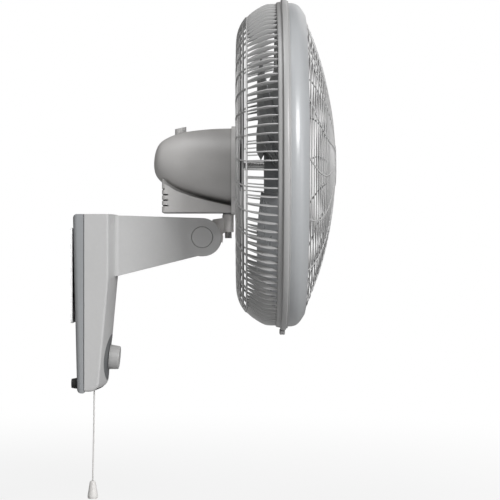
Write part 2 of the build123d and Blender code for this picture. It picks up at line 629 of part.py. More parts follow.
# ---- motor ----
def motor_front_bell():
    """The front bearing bell, with the threaded nose that the rear guard sits on."""
    back, front, nose = STATOR_FRONT_Y, FRONT_BELL_Y, FRONT_BELL_Y - NOSE_BOSS_LENGTH
    seat = BEARING_R + FIT_GAP
    cup = front + 3 + BEARING_W
    profile = [(back, MOTOR_R), (front, MOTOR_R), (front, NOSE_BOSS_R), (nose, NOSE_BOSS_R),
               (nose, NOSE_BOSS_R - 4), (front - 3, NOSE_BOSS_R - 4), (front - 3, SHAFT_R + 2),
               (front + 3, SHAFT_R + 2), (front + 3, seat), (cup, seat), (cup, seat + 3),
               (front + 3, seat + 3), (front + 3, MOTOR_R - BELL_WALL), (back, MOTOR_R - BELL_WALL)]
    return turned(profile)


def motor_rear_bell():
    front, back = STATOR_FRONT_Y + STATOR_LENGTH, REAR_BELL_Y
    seat = BEARING_R + FIT_GAP
    cup = back - 2 - BEARING_W
    profile = [(front, MOTOR_R), (back - 4, MOTOR_R), (back, MOTOR_R - 6), (back, SHAFT_R + 2),
               (back - 2, SHAFT_R + 2), (back - 2, seat), (cup, seat), (cup, seat + 3),
               (back - BELL_WALL, seat + 3), (back - BELL_WALL, MOTOR_R - 7),
               (back - 2 * BELL_WALL, MOTOR_R - BELL_WALL), (front, MOTOR_R - BELL_WALL)]
    return turned(profile)


def bearing(y0):
    return tube_y(BEARING_R, SHAFT_R + RUN_GAP, y0, y0 + BEARING_W)


def stator_core():
    return tube_y(MOTOR_R, ROTOR_R + AIR_GAP, STATOR_FRONT_Y, STATOR_FRONT_Y + STATOR_LENGTH)


def stator_windings():
    ends = []
    for start, out in ((STATOR_FRONT_Y - FIT_GAP, -1), (STATOR_FRONT_Y + STATOR_LENGTH + FIT_GAP, 1)):
        end = start + out * WINDING_DEPTH
        ends.append(turned([(start, WINDING_BORE), (start, WINDING_R), (end - out * 2.0, WINDING_R),
                            (end, WINDING_R - 2.5), (end, WINDING_BORE + 2.5)]))
    return Compound(children=ends)


def rotor_core():
    middle = STATOR_FRONT_Y + STATOR_LENGTH / 2
    return tube_y(ROTOR_R, SHAFT_R + FIT_GAP, middle - ROTOR_LENGTH / 2, middle + ROTOR_LENGTH / 2)


def motor_shaft():
    return along_y(SHAFT_R, SHAFT_REAR_Y, SHAFT_FRONT_Y)


# ---- head shell ----
def cover_solid(inset):
    """The motor cover's smooth dome as a solid, drawn in by an inset."""
    depth = COVER_PROFILE[-1][0]
    shrink = 1 - max(inset, 0.0) / depth
    side = [(d * shrink, max(r - inset, 0.0)) for d, r in COVER_PROFILE[:-1]] + [(depth * shrink, 0.0)]
    start = -12.0
    mouth = Polyline((depth * shrink, 0), (start, 0), (start, side[0][1]), side[0])
    dome = revolve(Plane.YZ * make_face([*mouth.edges(), Spline(*side)]), Axis.Y)
    dome = Pos(0, COLLAR_BACK_Y, COVER_FRONT_Z) * Rot(degrees(atan(COVER_CLIMB)), 0, 0) * dome
    cut_y = COLLAR_BACK_Y - (1 if inset > 0 else 0)
    return dome - block(-PAST, PAST, cut_y, cut_y - PAST, COVER_FRONT_Z - PAST, COVER_FRONT_Z + PAST)


def skirt_block(inset):
    """The box under the dome, its top hugging the dome's underside."""
    bottom = SKIRT_BOTTOM + inset
    rear = SKIRT_REAR_Y - inset
    top = [(rear, LEDGE_TOP[0][1] - inset)] + [(y, z - inset) for y, z in LEDGE_TOP[1:]]
    solid = across([(rear, bottom), *top, (COLLAR_BACK_Y, bottom)], 2 * (SKIRT_HALF - inset))
    corners = [e for e in solid.edges().filter_by(Axis.Z) if e.center().Y > rear - 1]
    return fillet(corners, SKIRT_CORNER_R - inset)


def drive_room():
    """The openings in cover and skirt for the motor's shoe and for the crank's spindle."""
    side = BRACKET_HALF + 0.5
    top = AXIS_Z - MOTOR_R + 20
    shoe = block(-side, side, COLLAR_BACK_Y - 1, BRACKET_REAR_Y + 0.5, FLOOR_TOP, top)
    return shoe + along_z(SPINDLE_R + 2 * SWEEP_GAP, FLOOR_TOP, top, CRANK_X, CRANK_Y)


def screw_spot(solid, turn):
    """Carry a piece at the top of the collar to its place round the cover's front circle."""
    return solid.rotate(COVER_AXIS, turn)


def motor_cover():
    outside = cover_solid(0.0)
    shell = outside - cover_solid(SHELL)
    post = along_y(COVER_POST_R, COLLAR_BACK_Y, COLLAR_BACK_Y + 12, 0, COVER_SCREW_Z)
    hole = along_y(COVER_SCREW_R + FIT_GAP, COLLAR_BACK_Y - 1, COLLAR_BACK_Y + 11, 0, COVER_SCREW_Z)
    for turn in COVER_SCREW_TURNS:
        shell += screw_spot(post, turn) & outside
        shell -= screw_spot(hole, turn)
    shell -= drive_room()
    return shell - along_z(KNOB_ROD_R + SWEEP_GAP, GEARBOX_TOP, KNOB_TOP, CRANK_X, CRANK_Y)


def gear_skirt():
    """The box below the dome that hides the linkage; a saddle on its ledge meets the dome."""
    body = skirt_block(0.0) - skirt_block(SHELL)
    above = [(y, z + SADDLE_RISE) for y, z in LEDGE_TOP]
    below = [(y, z - SHELL) for y, z in reversed(LEDGE_TOP)]
    body += across(above + below, 2 * SADDLE_HALF)
    body -= cover_solid(-PART_GAP / 2) + drive_room()
    for k, wrap in enumerate(SLOT_WRAPS):
        z = SLOT_TOP_Z - k * SLOT_PITCH
        rear = SKIRT_REAR_Y - wrap
        for side in (-1, 1):
            body -= block(side * 6, side * PAST, SKIRT_REAR_Y + 1, rear, z - SLOT_H / 2, z + SLOT_H / 2)
    body -= along_z(SLEEVE_R + 1.0, 0, FLOOR_TOP + 5, 0, OSC_Y)
    return body - lug_sweep(LUG_PIN_R + SWEEP_GAP, LUG_TOP, FLOOR_TOP + 1)


def lug_sweep(reach, z0, z1):
    """The room that a round piece of this radius on the lug needs while the head swings."""
    ring = along_z(LUG_REACH + reach, z0, z1, 0, OSC_Y)
    ring -= along_z(LUG_REACH - reach, z0 - 1, z1 + 1, 0, OSC_Y)
    far = 3 * LUG_REACH
    spots = [radians(LUG_ANGLE + swing) for swing in (-SWING, 0.0, SWING)]
    corners = [(0, 0)] + [(far * cos(a), far * sin(a)) for a in spots]
    room = ring & Pos(0, OSC_Y, z0) * extrude(make_face(Polyline(*corners, close=True)), z1 - z0)
    for swing in (-SWING, SWING):
        room += along_z(reach, z0, z1, *lug_point(LUG_REACH, swing))
    return room


def front_collar():
    """The plate that closes the head's front; the lug sweeps through a slot in its lower edge."""
    back = COLLAR_BACK_Y - FIT_GAP
    half = SKIRT_HALF + COLLAR_LIP
    foot = block(-half, half, back, COLLAR_FRONT_Y, COLLAR_BOTTOM, COVER_FRONT_Z)
    foot = fillet(foot.edges().filter_by(Axis.Y).group_by(Axis.Z)[0], 6)
    plate = along_y(COVER_PROFILE[0][1] + COLLAR_LIP, back, COLLAR_FRONT_Y, 0, COVER_FRONT_Z) + foot
    plate += tube_y(NOSE_BOSS_R + 8, NOSE_BOSS_R + 2, back, FRONT_BELL_Y - FIT_GAP)
    plate -= along_y(NOSE_BOSS_R + PART_GAP, back + PAST, COLLAR_FRONT_Y - PAST)
    hole = along_y(COVER_SCREW_R + FIT_GAP, back + 5, COLLAR_FRONT_Y - 5, 0, COVER_SCREW_Z)
    hole += along_y(COVER_SCREW_HEAD_R + PART_GAP, COLLAR_FRONT_Y + 2, COLLAR_FRONT_Y - 5, 0, COVER_SCREW_Z)
    for turn in COVER_SCREW_TURNS:
        plate -= screw_spot(hole, turn)
    plate -= lug_sweep(LUG_PIN_R + SWEEP_GAP, LUG_TOP, LINK_Z)
    plate -= lug_sweep(LINK_R + SWEEP_GAP, LINK_Z - SWEEP_GAP, PIN_TOP + SWEEP_GAP)
    return plate - along_z(SLEEVE_R + PART_GAP, 0, BOSS_TOP + PART_GAP, 0, OSC_Y)


def cover_screws():
    screw = along_y(COVER_SCREW_HEAD_R, COLLAR_FRONT_Y + 0.2, COLLAR_FRONT_Y + 1.9, 0, COVER_SCREW_Z)
    screw += along_y(COVER_SCREW_R, COLLAR_FRONT_Y + 0.2, COLLAR_BACK_Y + 10, 0, COVER_SCREW_Z)
    return Compound(children=[screw_spot(screw, turn) for turn in COVER_SCREW_TURNS])


def clutch_knob():
    """The ribbed pull-up knob; its foot follows the dome and its top leans with it."""
    head = along_z(KNOB_R, KNOB_SEAT, KNOB_TOP, CRANK_X, CRANK_Y)
    groove = Pos(KNOB_R, 0, (KNOB_SEAT + KNOB_TOP) / 2) * Box(0.9, 1.0, 2 * (KNOB_TOP - KNOB_SEAT))
    for k in range(KNOB_GROOVES):
        head -= Pos(CRANK_X, CRANK_Y, 0) * Rot(0, 0, k * 360 / KNOB_GROOVES) * groove
    head -= cover_solid(-PART_GAP)
    slab = Pos(0, 0, 10) * Box(60, 60, 20)
    head -= Pos(CRANK_X, CRANK_Y, KNOB_TOP - 1.6) * Rot(-KNOB_LEAN, 0, 0) * slab
    return head + along_z(KNOB_ROD_R, GEARBOX_TOP - 12, KNOB_SEAT + 5, CRANK_X, CRANK_Y)


# ---- guard ----
def polygon_ring(outer, inner, y0, y1, sides=RIB_COUNT):
    """A ring of straight runs whose corners lie on the ribs."""
    face = RegularPolygon(outer, sides, rotation=90) - RegularPolygon(inner, sides, rotation=90)
    solid = extrude(face, abs(y1 - y0))
    return Pos(0, max(y0, y1), AXIS_Z) * Rot(90, 0, 0) * solid


def rear_guard():
    """The moulded rear cage: one rib outline turned forty times, rings between, a hub plate at the back."""
    side = [(y, RIM_R - drop) for y, drop in GUARD_DROPS]
    inner = [(y - 3.2, r - 3.4) for y, r in side[1:4]]
    outline = side + [(BACK_Y, CENTRE_R - 2), (BACK_Y - RIB_DEPTH, CENTRE_R - 2),
                      (BACK_Y - RIB_DEPTH, RIM_R - 56.8), (BACK_Y - 7.2, RIM_R - 33.8)]
    outline += list(reversed(inner)) + [(RIM_Y, RIM_R - RIM_T)]
    rib = across([(y, AXIS_Z + r) for y, r in outline], RIB_T)
    ribs = [rib.rotate(MOTOR_AXIS, k * 360 / RIB_COUNT) for k in range(RIB_COUNT)]
    wide = RING_T / 2
    rings = [polygon_ring(r + wide, r - wide, BACK_Y - 0.4, BACK_Y - RIB_DEPTH + 0.4) for r in BACK_RINGS]
    rings.append(polygon_ring(RIM_R - 16.6, RIM_R - 20.6, BACK_Y - 12.4, BACK_Y - 15.6))
    rings.append(polygon_ring(RIM_R - 0.2, RIM_R - RIM_T, RIM_Y + 10.0, RIM_Y))
    centre = along_y(CENTRE_R, BACK_Y, BACK_Y - RIB_DEPTH)
    body = centre.fuse(*ribs, *rings)
    return body - along_y(NOSE_BOSS_R + PART_GAP / 2, BACK_Y + PAST, BACK_Y - PAST)


def guard_nut():
    """A plastic ring nut that clamps the rear guard's hub plate on the motor's nose."""
    start = BACK_Y - RIB_DEPTH - FIT_GAP
    bore = NOSE_BOSS_R + FIT_GAP
    return turned([(start, bore), (start, bore + 10), (start - 3, bore + 10), (start - 3, bore + 5),
                   (start - 6.5, bore + 5), (start - 6.5, bore)])


def rim_band():
    """The hoop that holds both guards at the rim: two flanges, a raised middle and a split lug below."""
    inner, lip = RIM_R + BAND_GAP, RIM_R + BAND_LIP
    back, front = RIM_Y + BAND_BACK, RIM_Y - BAND_FRONT
    hoop_back, hoop_front = RIM_Y - BAND_GAP, front + BAND_FLANGE
    band = turned([(back, inner), (back, lip), (hoop_back, lip), (hoop_back, HOOP_R), (hoop_front, HOOP_R),
                   (hoop_front, lip), (front, lip), (front, inner)])
    low, high = AXIS_Z - HOOP_R, AXIS_Z + HOOP_R
    band += block(-CLIP_HALF, CLIP_HALF, CLIP_Y + 3.6, CLIP_Y - 3.6, low - CLIP_DROP, low + 2.0)
    band += block(-5, 5, CLIP_Y + 3.2, CLIP_Y - 2, high - 2.0, high + 1.6)
    split = CLIP_SPLIT / 2
    band -= block(-split, split, CLIP_Y + PAST, CLIP_Y - PAST, low - CLIP_DROP - 1, low + BAND_RISE + 1)
    return band - along_x(RIM_SCREW_R + RUN_GAP, 2 * CLIP_HALF + 2, CLIP_Y, CLIP_Z)


def rim_screw():
    shank = along_x(RIM_SCREW_R, 2 * CLIP_HALF + 2, CLIP_Y, CLIP_Z)
    return shank + along_x(2 * RIM_SCREW_R, 1.6, CLIP_Y, CLIP_Z, -CLIP_HALF - FIT_GAP - 0.8)


def front_cowl():
    """The deep front ring: a straight wall from the rim, then a shoulder that rolls in to the grille."""
    start, inner = RIM_Y - 1.0, RIM_R - COWL_T
    shoulder = [(-288.4, RIM_R + 0.2), (-292.6, RIM_R - 1.0), (-296.0, RIM_R - 2.9), (-299.5, RIM_R - 6.2),
                (-302.3, RIM_R - 10.4), (-304.4, RIM_R - 13.6), (COWL_FRONT_Y, COWL_FRONT_R)]
    lining = [(COWL_FRONT_Y, COWL_FRONT_R - COWL_T), (-301.4, RIM_R - 14.0), (-298.0, RIM_R - 9.0),
              (-294.5, RIM_R - 5.8), (-288.0, inner)]
    return turned([(start, inner), (start, RIM_R), *shoulder, *lining])


def dome_y(r, depth=0.0):
    """The front guard's outer surface at this distance from the axis, sunk by a depth."""
    return DOME_APEX_Y + DOME_SPHERE - sqrt(DOME_SPHERE ** 2 - r * r) + depth


def front_guard():
    """The domed front grille: sixteen ribs, rings between them, an outer rim and a hub disc."""
    steps = [BADGE_R - 0.6, 80.0, 140.0, DOME_EDGE_R - 1.0]
    outline = [(dome_y(r), AXIS_Z + r) for r in steps]
    outline += [(dome_y(r, DOME_WIRE), AXIS_Z + r) for r in reversed(steps)]
    rib = across(outline, DOME_WIRE)
    ribs = [rib.rotate(MOTOR_AXIS, k * 360 / DOME_RIBS) for k in range(DOME_RIBS)]
    pitch = (DOME_EDGE_R - BADGE_R) / (DOME_RING_COUNT + 1)
    rings = []
    for k in range(DOME_RING_COUNT):
        r = BADGE_R + pitch * (k + 1)
        wide = DOME_WIRE / 2
        near, far = dome_y(r, 0.3), dome_y(r, DOME_WIRE - 0.2)
        rings.append(polygon_ring(r + wide, r - wide, near, far, 2 * DOME_RIBS))
    rim = tube_y(DOME_EDGE_R, DOME_EDGE_R - 3.0, COWL_FRONT_Y + 4.0, COWL_FRONT_Y - 0.6)
    hub = along_y(BADGE_R, dome_y(BADGE_R - 6, DOME_WIRE), dome_y(0, 0.8))
    return hub.fuse(*ribs, *rings, rim)


def centre_badge():
    seat = dome_y(0, 0.8) - FIT_GAP
    return turned([(seat, 0), (seat, BADGE_R - 2), (seat - 1.0, BADGE_R - 4), (seat - 2.0, 0)])


# ---- blade ----
def blade_section(r, chord, pitch, skew, camber):
    """A thin cambered slice of one blade, standing square to the radius."""
    c, s = cos(radians(pitch)), sin(radians(pitch))

    def place(u, v):
        return skew + u * c - v * s, u * s + v * c

    half = chord / 2
    upper = ThreePointArc(place(-half, 0.3), place(0, camber + BLADE_T / 2), place(half, 0.3))
    lower = ThreePointArc(place(half, -0.3), place(0, camber - BLADE_T / 2), place(-half, -0.3))
    ends = [Line(place(half, 0.3), place(half, -0.3)), Line(place(-half, -0.3), place(-half, 0.3))]
    plane = Plane((0, BLADE_MID_Y, AXIS_Z + r), x_dir=(1, 0, 0), z_dir=(0, 0, 1))
    return plane * make_face([upper, lower, *ends])


def blade():
    """Three lofted leaves fused to the hub cup."""
    leaf = loft([blade_section(*row) for row in BLADE_SECTIONS], ruled=True)
    leaf = leaf & along_y(BLADE_R, BLADE_MID_Y + PAST, BLADE_MID_Y - PAST)
    front, back, mid = HUB_FRONT_Y, HUB_FRONT_Y + HUB_DEPTH, HUB_FRONT_Y + 2.6
    bore = SHAFT_R + FIT_GAP
    cup = turned([(front, bore), (front, HUB_CUP_R - 8), (front + 3, HUB_CUP_R - 1), (back, HUB_CUP_R),
                  (back, HUB_CUP_R - 2.4), (front + 5, HUB_CUP_R - 3.6), (mid, HUB_CUP_R - 9),
                  (mid, bore + 6), (back - 2, bore + 5), (back - 2, bore)])
    outside = leaf - along_y(HUB_CUP_R - 1.2, BLADE_MID_Y + PAST, BLADE_MID_Y - PAST)
    leaves = [outside.rotate(MOTOR_AXIS, BLADE_TURN + k * 360 / BLADE_COUNT) for k in range(BLADE_COUNT)]
    return cup.fuse(*leaves)


def spinner():
    """The screwed cap on the shaft's end that holds the blade."""
    seat = HUB_FRONT_Y - FIT_GAP
    bore = SHAFT_R + FIT_GAP
    end = SHAFT_FRONT_Y - PART_GAP
    return turned([(seat, bore), (seat, SPINNER_R), (seat - 7, SPINNER_R - 1.5), (seat - 11, SPINNER_R - 8),
                   (seat - SPINNER_RISE, 0), (end, 0), (end, bore)])


# ---- controls ----
def dial_plate():
    """A thin oval plate with the crown of the front face."""
    back = DIAL_DEPTH - FIT_GAP
    sheet = base_block(back - DIAL_PLATE_T, SEAM_Y + 5) - base_block(back, SEAM_Y + 6)
    plate = sheet & dial_prism(-PART_GAP)
    return plate - extrude(dial_plane(-10) * Circle(SWITCH_NECK_R + PART_GAP), 20)


def selector_switch():
    body = extrude(dial_plane(-SWITCH_SEAT) * RectangleRounded(SWITCH_SIZE, SWITCH_SIZE, 3), -SWITCH_DEPTH)
    neck = extrude(dial_plane(-SWITCH_SEAT) * Circle(SWITCH_NECK_R), SWITCH_SEAT - DIAL_DEPTH + DIAL_PLATE_T)
    deep = SWITCH_SEAT + SWITCH_DEPTH - 1
    bore = extrude(dial_plane(-deep) * Circle(SPINDLE_R + RUN_GAP), 2 * SWITCH_DEPTH)
    return body + neck - bore


def selector_knob():
    """The knob and its spindle, with a pointer notch at its upper edge."""
    face = DIAL_PLATE_T + PART_GAP - DIAL_DEPTH
    grip = Cone(SELECTOR_R, SELECTOR_FRONT_R, SELECTOR_H, align=LOW)
    grip = fillet(grip.edges().group_by(Axis.Z)[-1], SELECTOR_EDGE)
    grip -= Pos(0, SELECTOR_FRONT_R - 5, SELECTOR_H - 0.6) * Box(1.6, 7, 4, align=LOW)
    deep = SWITCH_SEAT + SWITCH_DEPTH - 2
    return dial_plane(face) * grip + extrude(dial_plane(-deep) * Circle(SPINDLE_R), deep + face + 2)


def inner_back_y(z):
    """The inside of the back case's rear wall at this height, less a seating gap."""
    return back_y(z) - WALL - FIT_GAP


def pull_switch():
    """The pull switch sits on the back case above the cord's bush; its stem slides in the bore."""
    low, half = PULL_SWITCH_LOW, PULL_SWITCH_HALF
    body = block(-half, half, inner_back_y(low), CORD_Y - PLUNGER_R - 0.9, low, low + PULL_SWITCH_H)
    return body - along_z(PLUNGER_R + RUN_GAP, low - 1, low + PULL_SWITCH_H - 8, 0, CORD_Y)


def pull_plunger():
    return along_z(PLUNGER_R, CORD_TOP, PULL_SWITCH_LOW + PULL_SWITCH_H - 10, 0, CORD_Y)


def cord_bush():
    """A flanged bush in the housing's floor that the cord hangs through."""
    top, low = BASE_BOTTOM + WALL, BASE_BOTTOM - BUSH_PROUD
    bush = along_z(BUSH_R, low, top, 0, CORD_Y)
    bush += along_z(BUSH_R + BUSH_FLANGE, low, BASE_BOTTOM - FIT_GAP, 0, CORD_Y)
    return bush - along_z(PLUNGER_R + PART_GAP, low - 1, top + 1, 0, CORD_Y)


def pull_cord():
    """Straight runs joined by tangent arcs, swept with a round section."""
    points = [Vector(*p) for p in CORD_POINTS]
    radii = []
    for before, here, after in zip(points, points[1:], points[2:]):
        run_in, run_out = here - before, after - here
        half_turn = radians(run_in.get_angle(run_out)) / 2
        radii.append(0.45 * min(run_in.length, run_out.length) / tan(half_turn))
    path = FilletPolyline(*points, radius=radii)
    start = Plane(origin=points[0], z_dir=points[1] - points[0])
    return sweep(start * Circle(CORD_R), path)


def cord_pull():
    """A bell-shaped pull on the cord's end."""
    x, y, z = CORD_POINTS[-1]
    end = z - PULL_LENGTH
    lines = Polyline((0, z), (PULL_TOP_R - 1.4, z), (PULL_TOP_R, z - 1.6), (PULL_TOP_R + 0.8, z - 7),
                     (PULL_R, end + 3), (PULL_R - 0.6, end), (0, end), close=True)
    return Pos(x, y, 0) * revolve(Plane.XZ * make_face(lines), Axis.Z)


def run_capacitor():
    """The motor's run capacitor, clipped flat against the back case."""
    can = block(-40, -16, inner_back_y(-70), SEAM_Y - 8, -70, -34)
    return fillet(can.edges().filter_by(Axis.Y), 3)


def terminal_block():
    body = block(10, 40, inner_back_y(-66), SEAM_Y - 3, -66, -54)
    for k in range(3):
        body -= along_y(2.2, SEAM_Y, SEAM_Y - 6, 15.0 + 10 * k, -60)
    return body


def mains_grommet():
    """The empty cable entry in the back case."""
    y = back_y(GROMMET_Z)
    body = along_y(GROMMET_R, y, y - WALL - 1.5, GROMMET_X, GROMMET_Z)
    body += along_y(GROMMET_R + 2, y - WALL - FIT_GAP - 0.3, y - WALL - 2.0, GROMMET_X, GROMMET_Z)
    return body - along_y(GROMMET_R - 1.2, 0, y - 10, GROMMET_X, GROMMET_Z)


def build():
    pieces = {
        "wall_plate": wall_plate(),
        "back_case": back_case(),
        "front_housing": front_housing(),
        "housing_screws": housing_screws(),
        "rubber_feet": rubber_feet(),
        "arm_bracket": arm_bracket(),
        "bracket_screws": bracket_screws(),
        "pivot_caps": pivot_caps(),
        "tilt_bolt": tilt_bolt(),
        "tilt_nut": tilt_nut(),
        "friction_washers": friction_washers(),
        "tilt_neck": tilt_neck(),
        "osc_bush": osc_bush(),
        "osc_bracket": osc_bracket(),
        "osc_shaft": osc_shaft(),
        "osc_nut": osc_nut(),
        "gearbox_case": gearbox_case(),
        "osc_crank": osc_crank(),
        "osc_link": osc_link(),
        "motor_front_bell": motor_front_bell(),
        "motor_rear_bell": motor_rear_bell(),
        "front_bearing": bearing(FRONT_BELL_Y + 3),
        "rear_bearing": bearing(REAR_BELL_Y - 2 - BEARING_W),
        "stator_core": stator_core(),
        "stator_windings": stator_windings(),
        "rotor_core": rotor_core(),
        "motor_shaft": motor_shaft(),
        "motor_cover": motor_cover(),
        "gear_skirt": gear_skirt(),
        "front_collar": front_collar(),
        "cover_screws": cover_screws(),
        "clutch_knob": clutch_knob(),
        "rear_guard": rear_guard(),
        "guard_nut": guard_nut(),
        "rim_band": rim_band(),
        "rim_screw": rim_screw(),
        "front_cowl": front_cowl(),
        "front_guard": front_guard(),
        "centre_badge": centre_badge(),
        "blade": blade(),
        "spinner": spinner(),
        "dial_plate": dial_plate(),
        "selector_switch": selector_switch(),
        "selector_knob": selector_knob(),
        "pull_switch": pull_switch(),
        "pull_plunger": pull_plunger(),
        "cord_bush": cord_bush(),
        "pull_cord": pull_cord(),
        "cord_pull": cord_pull(),
        "run_capacitor": run_capacitor(),
        "terminal_block": terminal_block(),
        "mains_grommet": mains_grommet(),
    }
    return pieces


if __name__ == "__main__":
    os.makedirs("parts", exist_ok=True)
    for name, solid in build().items():
        export_step(solid, f"parts/{name}.step")
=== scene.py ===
from math import cos, pi, radians, sin, sqrt

import bmesh
import bpy
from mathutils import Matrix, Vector


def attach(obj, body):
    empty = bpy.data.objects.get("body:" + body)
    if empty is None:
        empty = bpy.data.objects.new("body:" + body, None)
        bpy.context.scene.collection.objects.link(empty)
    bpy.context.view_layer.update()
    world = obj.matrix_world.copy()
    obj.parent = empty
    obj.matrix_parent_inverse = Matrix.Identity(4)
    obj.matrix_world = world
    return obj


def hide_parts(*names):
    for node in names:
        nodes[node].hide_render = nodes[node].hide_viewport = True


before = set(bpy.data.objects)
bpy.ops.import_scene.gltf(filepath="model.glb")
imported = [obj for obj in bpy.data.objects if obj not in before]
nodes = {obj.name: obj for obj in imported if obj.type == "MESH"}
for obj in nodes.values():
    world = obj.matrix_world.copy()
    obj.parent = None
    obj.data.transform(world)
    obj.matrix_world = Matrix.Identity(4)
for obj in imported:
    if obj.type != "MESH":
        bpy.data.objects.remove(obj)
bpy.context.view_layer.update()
scene = bpy.context.scene
scene.view_settings.view_transform = "Standard"

# ---------------------------------------------------------------------------------------------
# The viewpoint: level with the arm and square to the fan's side, so that the wall is edge-on at
# the left and the air leaves to the right, as in the photograph.
lens = bpy.data.cameras.new("side_view")
lens.lens = 110.43
lens.sensor_width = 36.0
lens.clip_end = 60.0
camera = bpy.data.objects.new("side_view", lens)
camera.location = (-2.050, -0.2332, 0.0332)
camera.rotation_euler = (pi / 2, 0.0, -pi / 2)
scene.collection.objects.link(camera)
scene.camera = camera

# ---------------------------------------------------------------------------------------------
# The room: a pale floor well under the cord's pull and white air all round. The floor takes the
# fan's soft shadow and fades to the white of the air with distance, so it has no far edge.
FLOOR_Z = -0.34
FLOOR_HALF = 14.0
floor_mesh = bpy.data.meshes.new("floor")
floor_mesh.from_pydata(
    [(-FLOOR_HALF, -FLOOR_HALF, FLOOR_Z), (FLOOR_HALF, -FLOOR_HALF, FLOOR_Z),
     (FLOOR_HALF, FLOOR_HALF, FLOOR_Z), (-FLOOR_HALF, FLOOR_HALF, FLOOR_Z)], [], [(0, 1, 2, 3)])
floor = bpy.data.objects.new("floor", floor_mesh)
scene.collection.objects.link(floor)

pale_floor = bpy.data.materials.new("pale_floor")
pale_floor.use_nodes = True
tree = pale_floor.node_tree
tree.nodes.clear()
paint = tree.nodes.new("ShaderNodeBsdfDiffuse")
paint.inputs["Color"].default_value = (0.5, 0.5, 0.5, 1.0)
glow = tree.nodes.new("ShaderNodeEmission")
glow.inputs["Color"].default_value = (1.0, 1.0, 1.0, 1.0)
spot = tree.nodes.new("ShaderNodeTexCoord")
span = tree.nodes.new("ShaderNodeVectorMath")
span.operation = "LENGTH"
fade = tree.nodes.new("ShaderNodeMapRange")
fade.interpolation_type = "SMOOTHSTEP"
for label, value in (("From Min", 0.2), ("From Max", 1.6), ("To Min", 0.82), ("To Max", 1.0)):
    fade.inputs[label].default_value = value
seen = tree.nodes.new("ShaderNodeLightPath")
share = tree.nodes.new("ShaderNodeMath")
share.operation = "MULTIPLY"
blend = tree.nodes.new("ShaderNodeMixShader")
surface = tree.nodes.new("ShaderNodeOutputMaterial")
tree.links.new(spot.outputs["Object"], span.inputs[0])
tree.links.new(span.outputs["Value"], fade.inputs["Value"])
tree.links.new(seen.outputs["Is Camera Ray"], share.inputs[0])
tree.links.new(fade.outputs[0], share.inputs[1])
tree.links.new(share.outputs[0], blend.inputs[0])
tree.links.new(paint.outputs[0], blend.inputs[1])
tree.links.new(glow.outputs[0], blend.inputs[2])
tree.links.new(blend.outputs[0], surface.inputs["Surface"])
floor_mesh.materials.append(pale_floor)

world = bpy.data.worlds.new("white_room")
scene.world = world
world.use_nodes = True
tree = world.node_tree
tree.nodes.clear()
ambient = tree.nodes.new("ShaderNodeBackground")
ambient.inputs["Color"].default_value = (1.0, 0.975, 0.95, 1.0)
ambient.inputs["Strength"].default_value = 0.13
white = tree.nodes.new("ShaderNodeBackground")
white.inputs["Color"].default_value = (1.0, 1.0, 1.0, 1.0)
seen = tree.nodes.new("ShaderNodeLightPath")
direct = tree.nodes.new("ShaderNodeMath")
direct.operation = "MAXIMUM"
blend = tree.nodes.new("ShaderNodeMixShader")
surface = tree.nodes.new("ShaderNodeOutputWorld")
tree.links.new(seen.outputs["Is Camera Ray"], direct.inputs[0])
tree.links.new(seen.outputs["Is Transmission Ray"], direct.inputs[1])
tree.links.new(direct.outputs[0], blend.inputs[0])
tree.links.new(ambient.outputs[0], blend.inputs[1])
tree.links.new(white.outputs[0], blend.inputs[2])
tree.links.new(blend.outputs[0], surface.inputs["Surface"])

# ---------------------------------------------------------------------------------------------
# Soft panels: the key stands high to the right of the camera, on the fan's front side, so that the
# guard shades the arm's nose; weaker ones fill from above the wall, from behind and from below, and
# a tall narrow one in front draws the light line on the upright edges.
TARGET = Vector((0.0, -0.2, 0.08))


def soft_panel(name, place, size, watts):
    lamp = bpy.data.lights.new(name, "AREA")
    lamp.shape = "RECTANGLE"
    lamp.size, lamp.size_y = size
    lamp.energy = watts
    panel = bpy.data.objects.new(name, lamp)
    panel.location = place
    panel.rotation_euler = (TARGET - Vector(place)).to_track_quat("-Z", "Y").to_euler()
    scene.collection.objects.link(panel)


soft_panel("key_panel", (-2.05, -1.52, 1.1), (0.8, 0.9), 70.0)
soft_panel("top_panel", (-0.55, 0.45, 2.2), (1.2, 1.2), 20.0)
soft_panel("far_panel", (2.2, -1.0, 1.2), (1.5, 1.5), 6.0)
soft_panel("low_panel", (-1.5, 0.3, 0.0), (0.8, 0.5), 1.5)
soft_panel("edge_panel", (-0.9, -2.7, 0.0), (0.5, 1.6), 12.0)

# ---------------------------------------------------------------------------------------------
# Wall plate: 2 mm white-enamelled steel with two pressed hooks, screwed to the wall. It carries the
# case by the hooks, and only its edge shows.


def effect(name, inputs, outputs):
    """A node group with these (label, kind, value) inputs and (label, kind) outputs."""
    group = bpy.data.node_groups.new(name, "ShaderNodeTree")
    for label, kind, value in inputs:
        socket = group.interface.new_socket(label, in_out="INPUT", socket_type=kind)
        socket.default_value = value
    for label, kind in outputs:
        group.interface.new_socket(label, in_out="OUTPUT", socket_type=kind)
    return group, group.nodes.new("NodeGroupInput"), group.nodes.new("NodeGroupOutput")


def noise(tree, where, scale, detail, rough=0.5):
    node = tree.nodes.new("ShaderNodeTexNoise")
    node.inputs["Scale"].default_value = scale
    node.inputs["Detail"].default_value = detail
    node.inputs["Roughness"].default_value = rough
    tree.links.new(where, node.inputs["Vector"])
    return node


def ranged(tree, value, low, high, to_low, to_high):
    node = tree.nodes.new("ShaderNodeMapRange")
    node.inputs["From Min"].default_value = low
    node.inputs["From Max"].default_value = high
    node.inputs["To Min"].default_value = to_low
    node.inputs["To Max"].default_value = to_high
    tree.links.new(value, node.inputs["Value"])
    return node


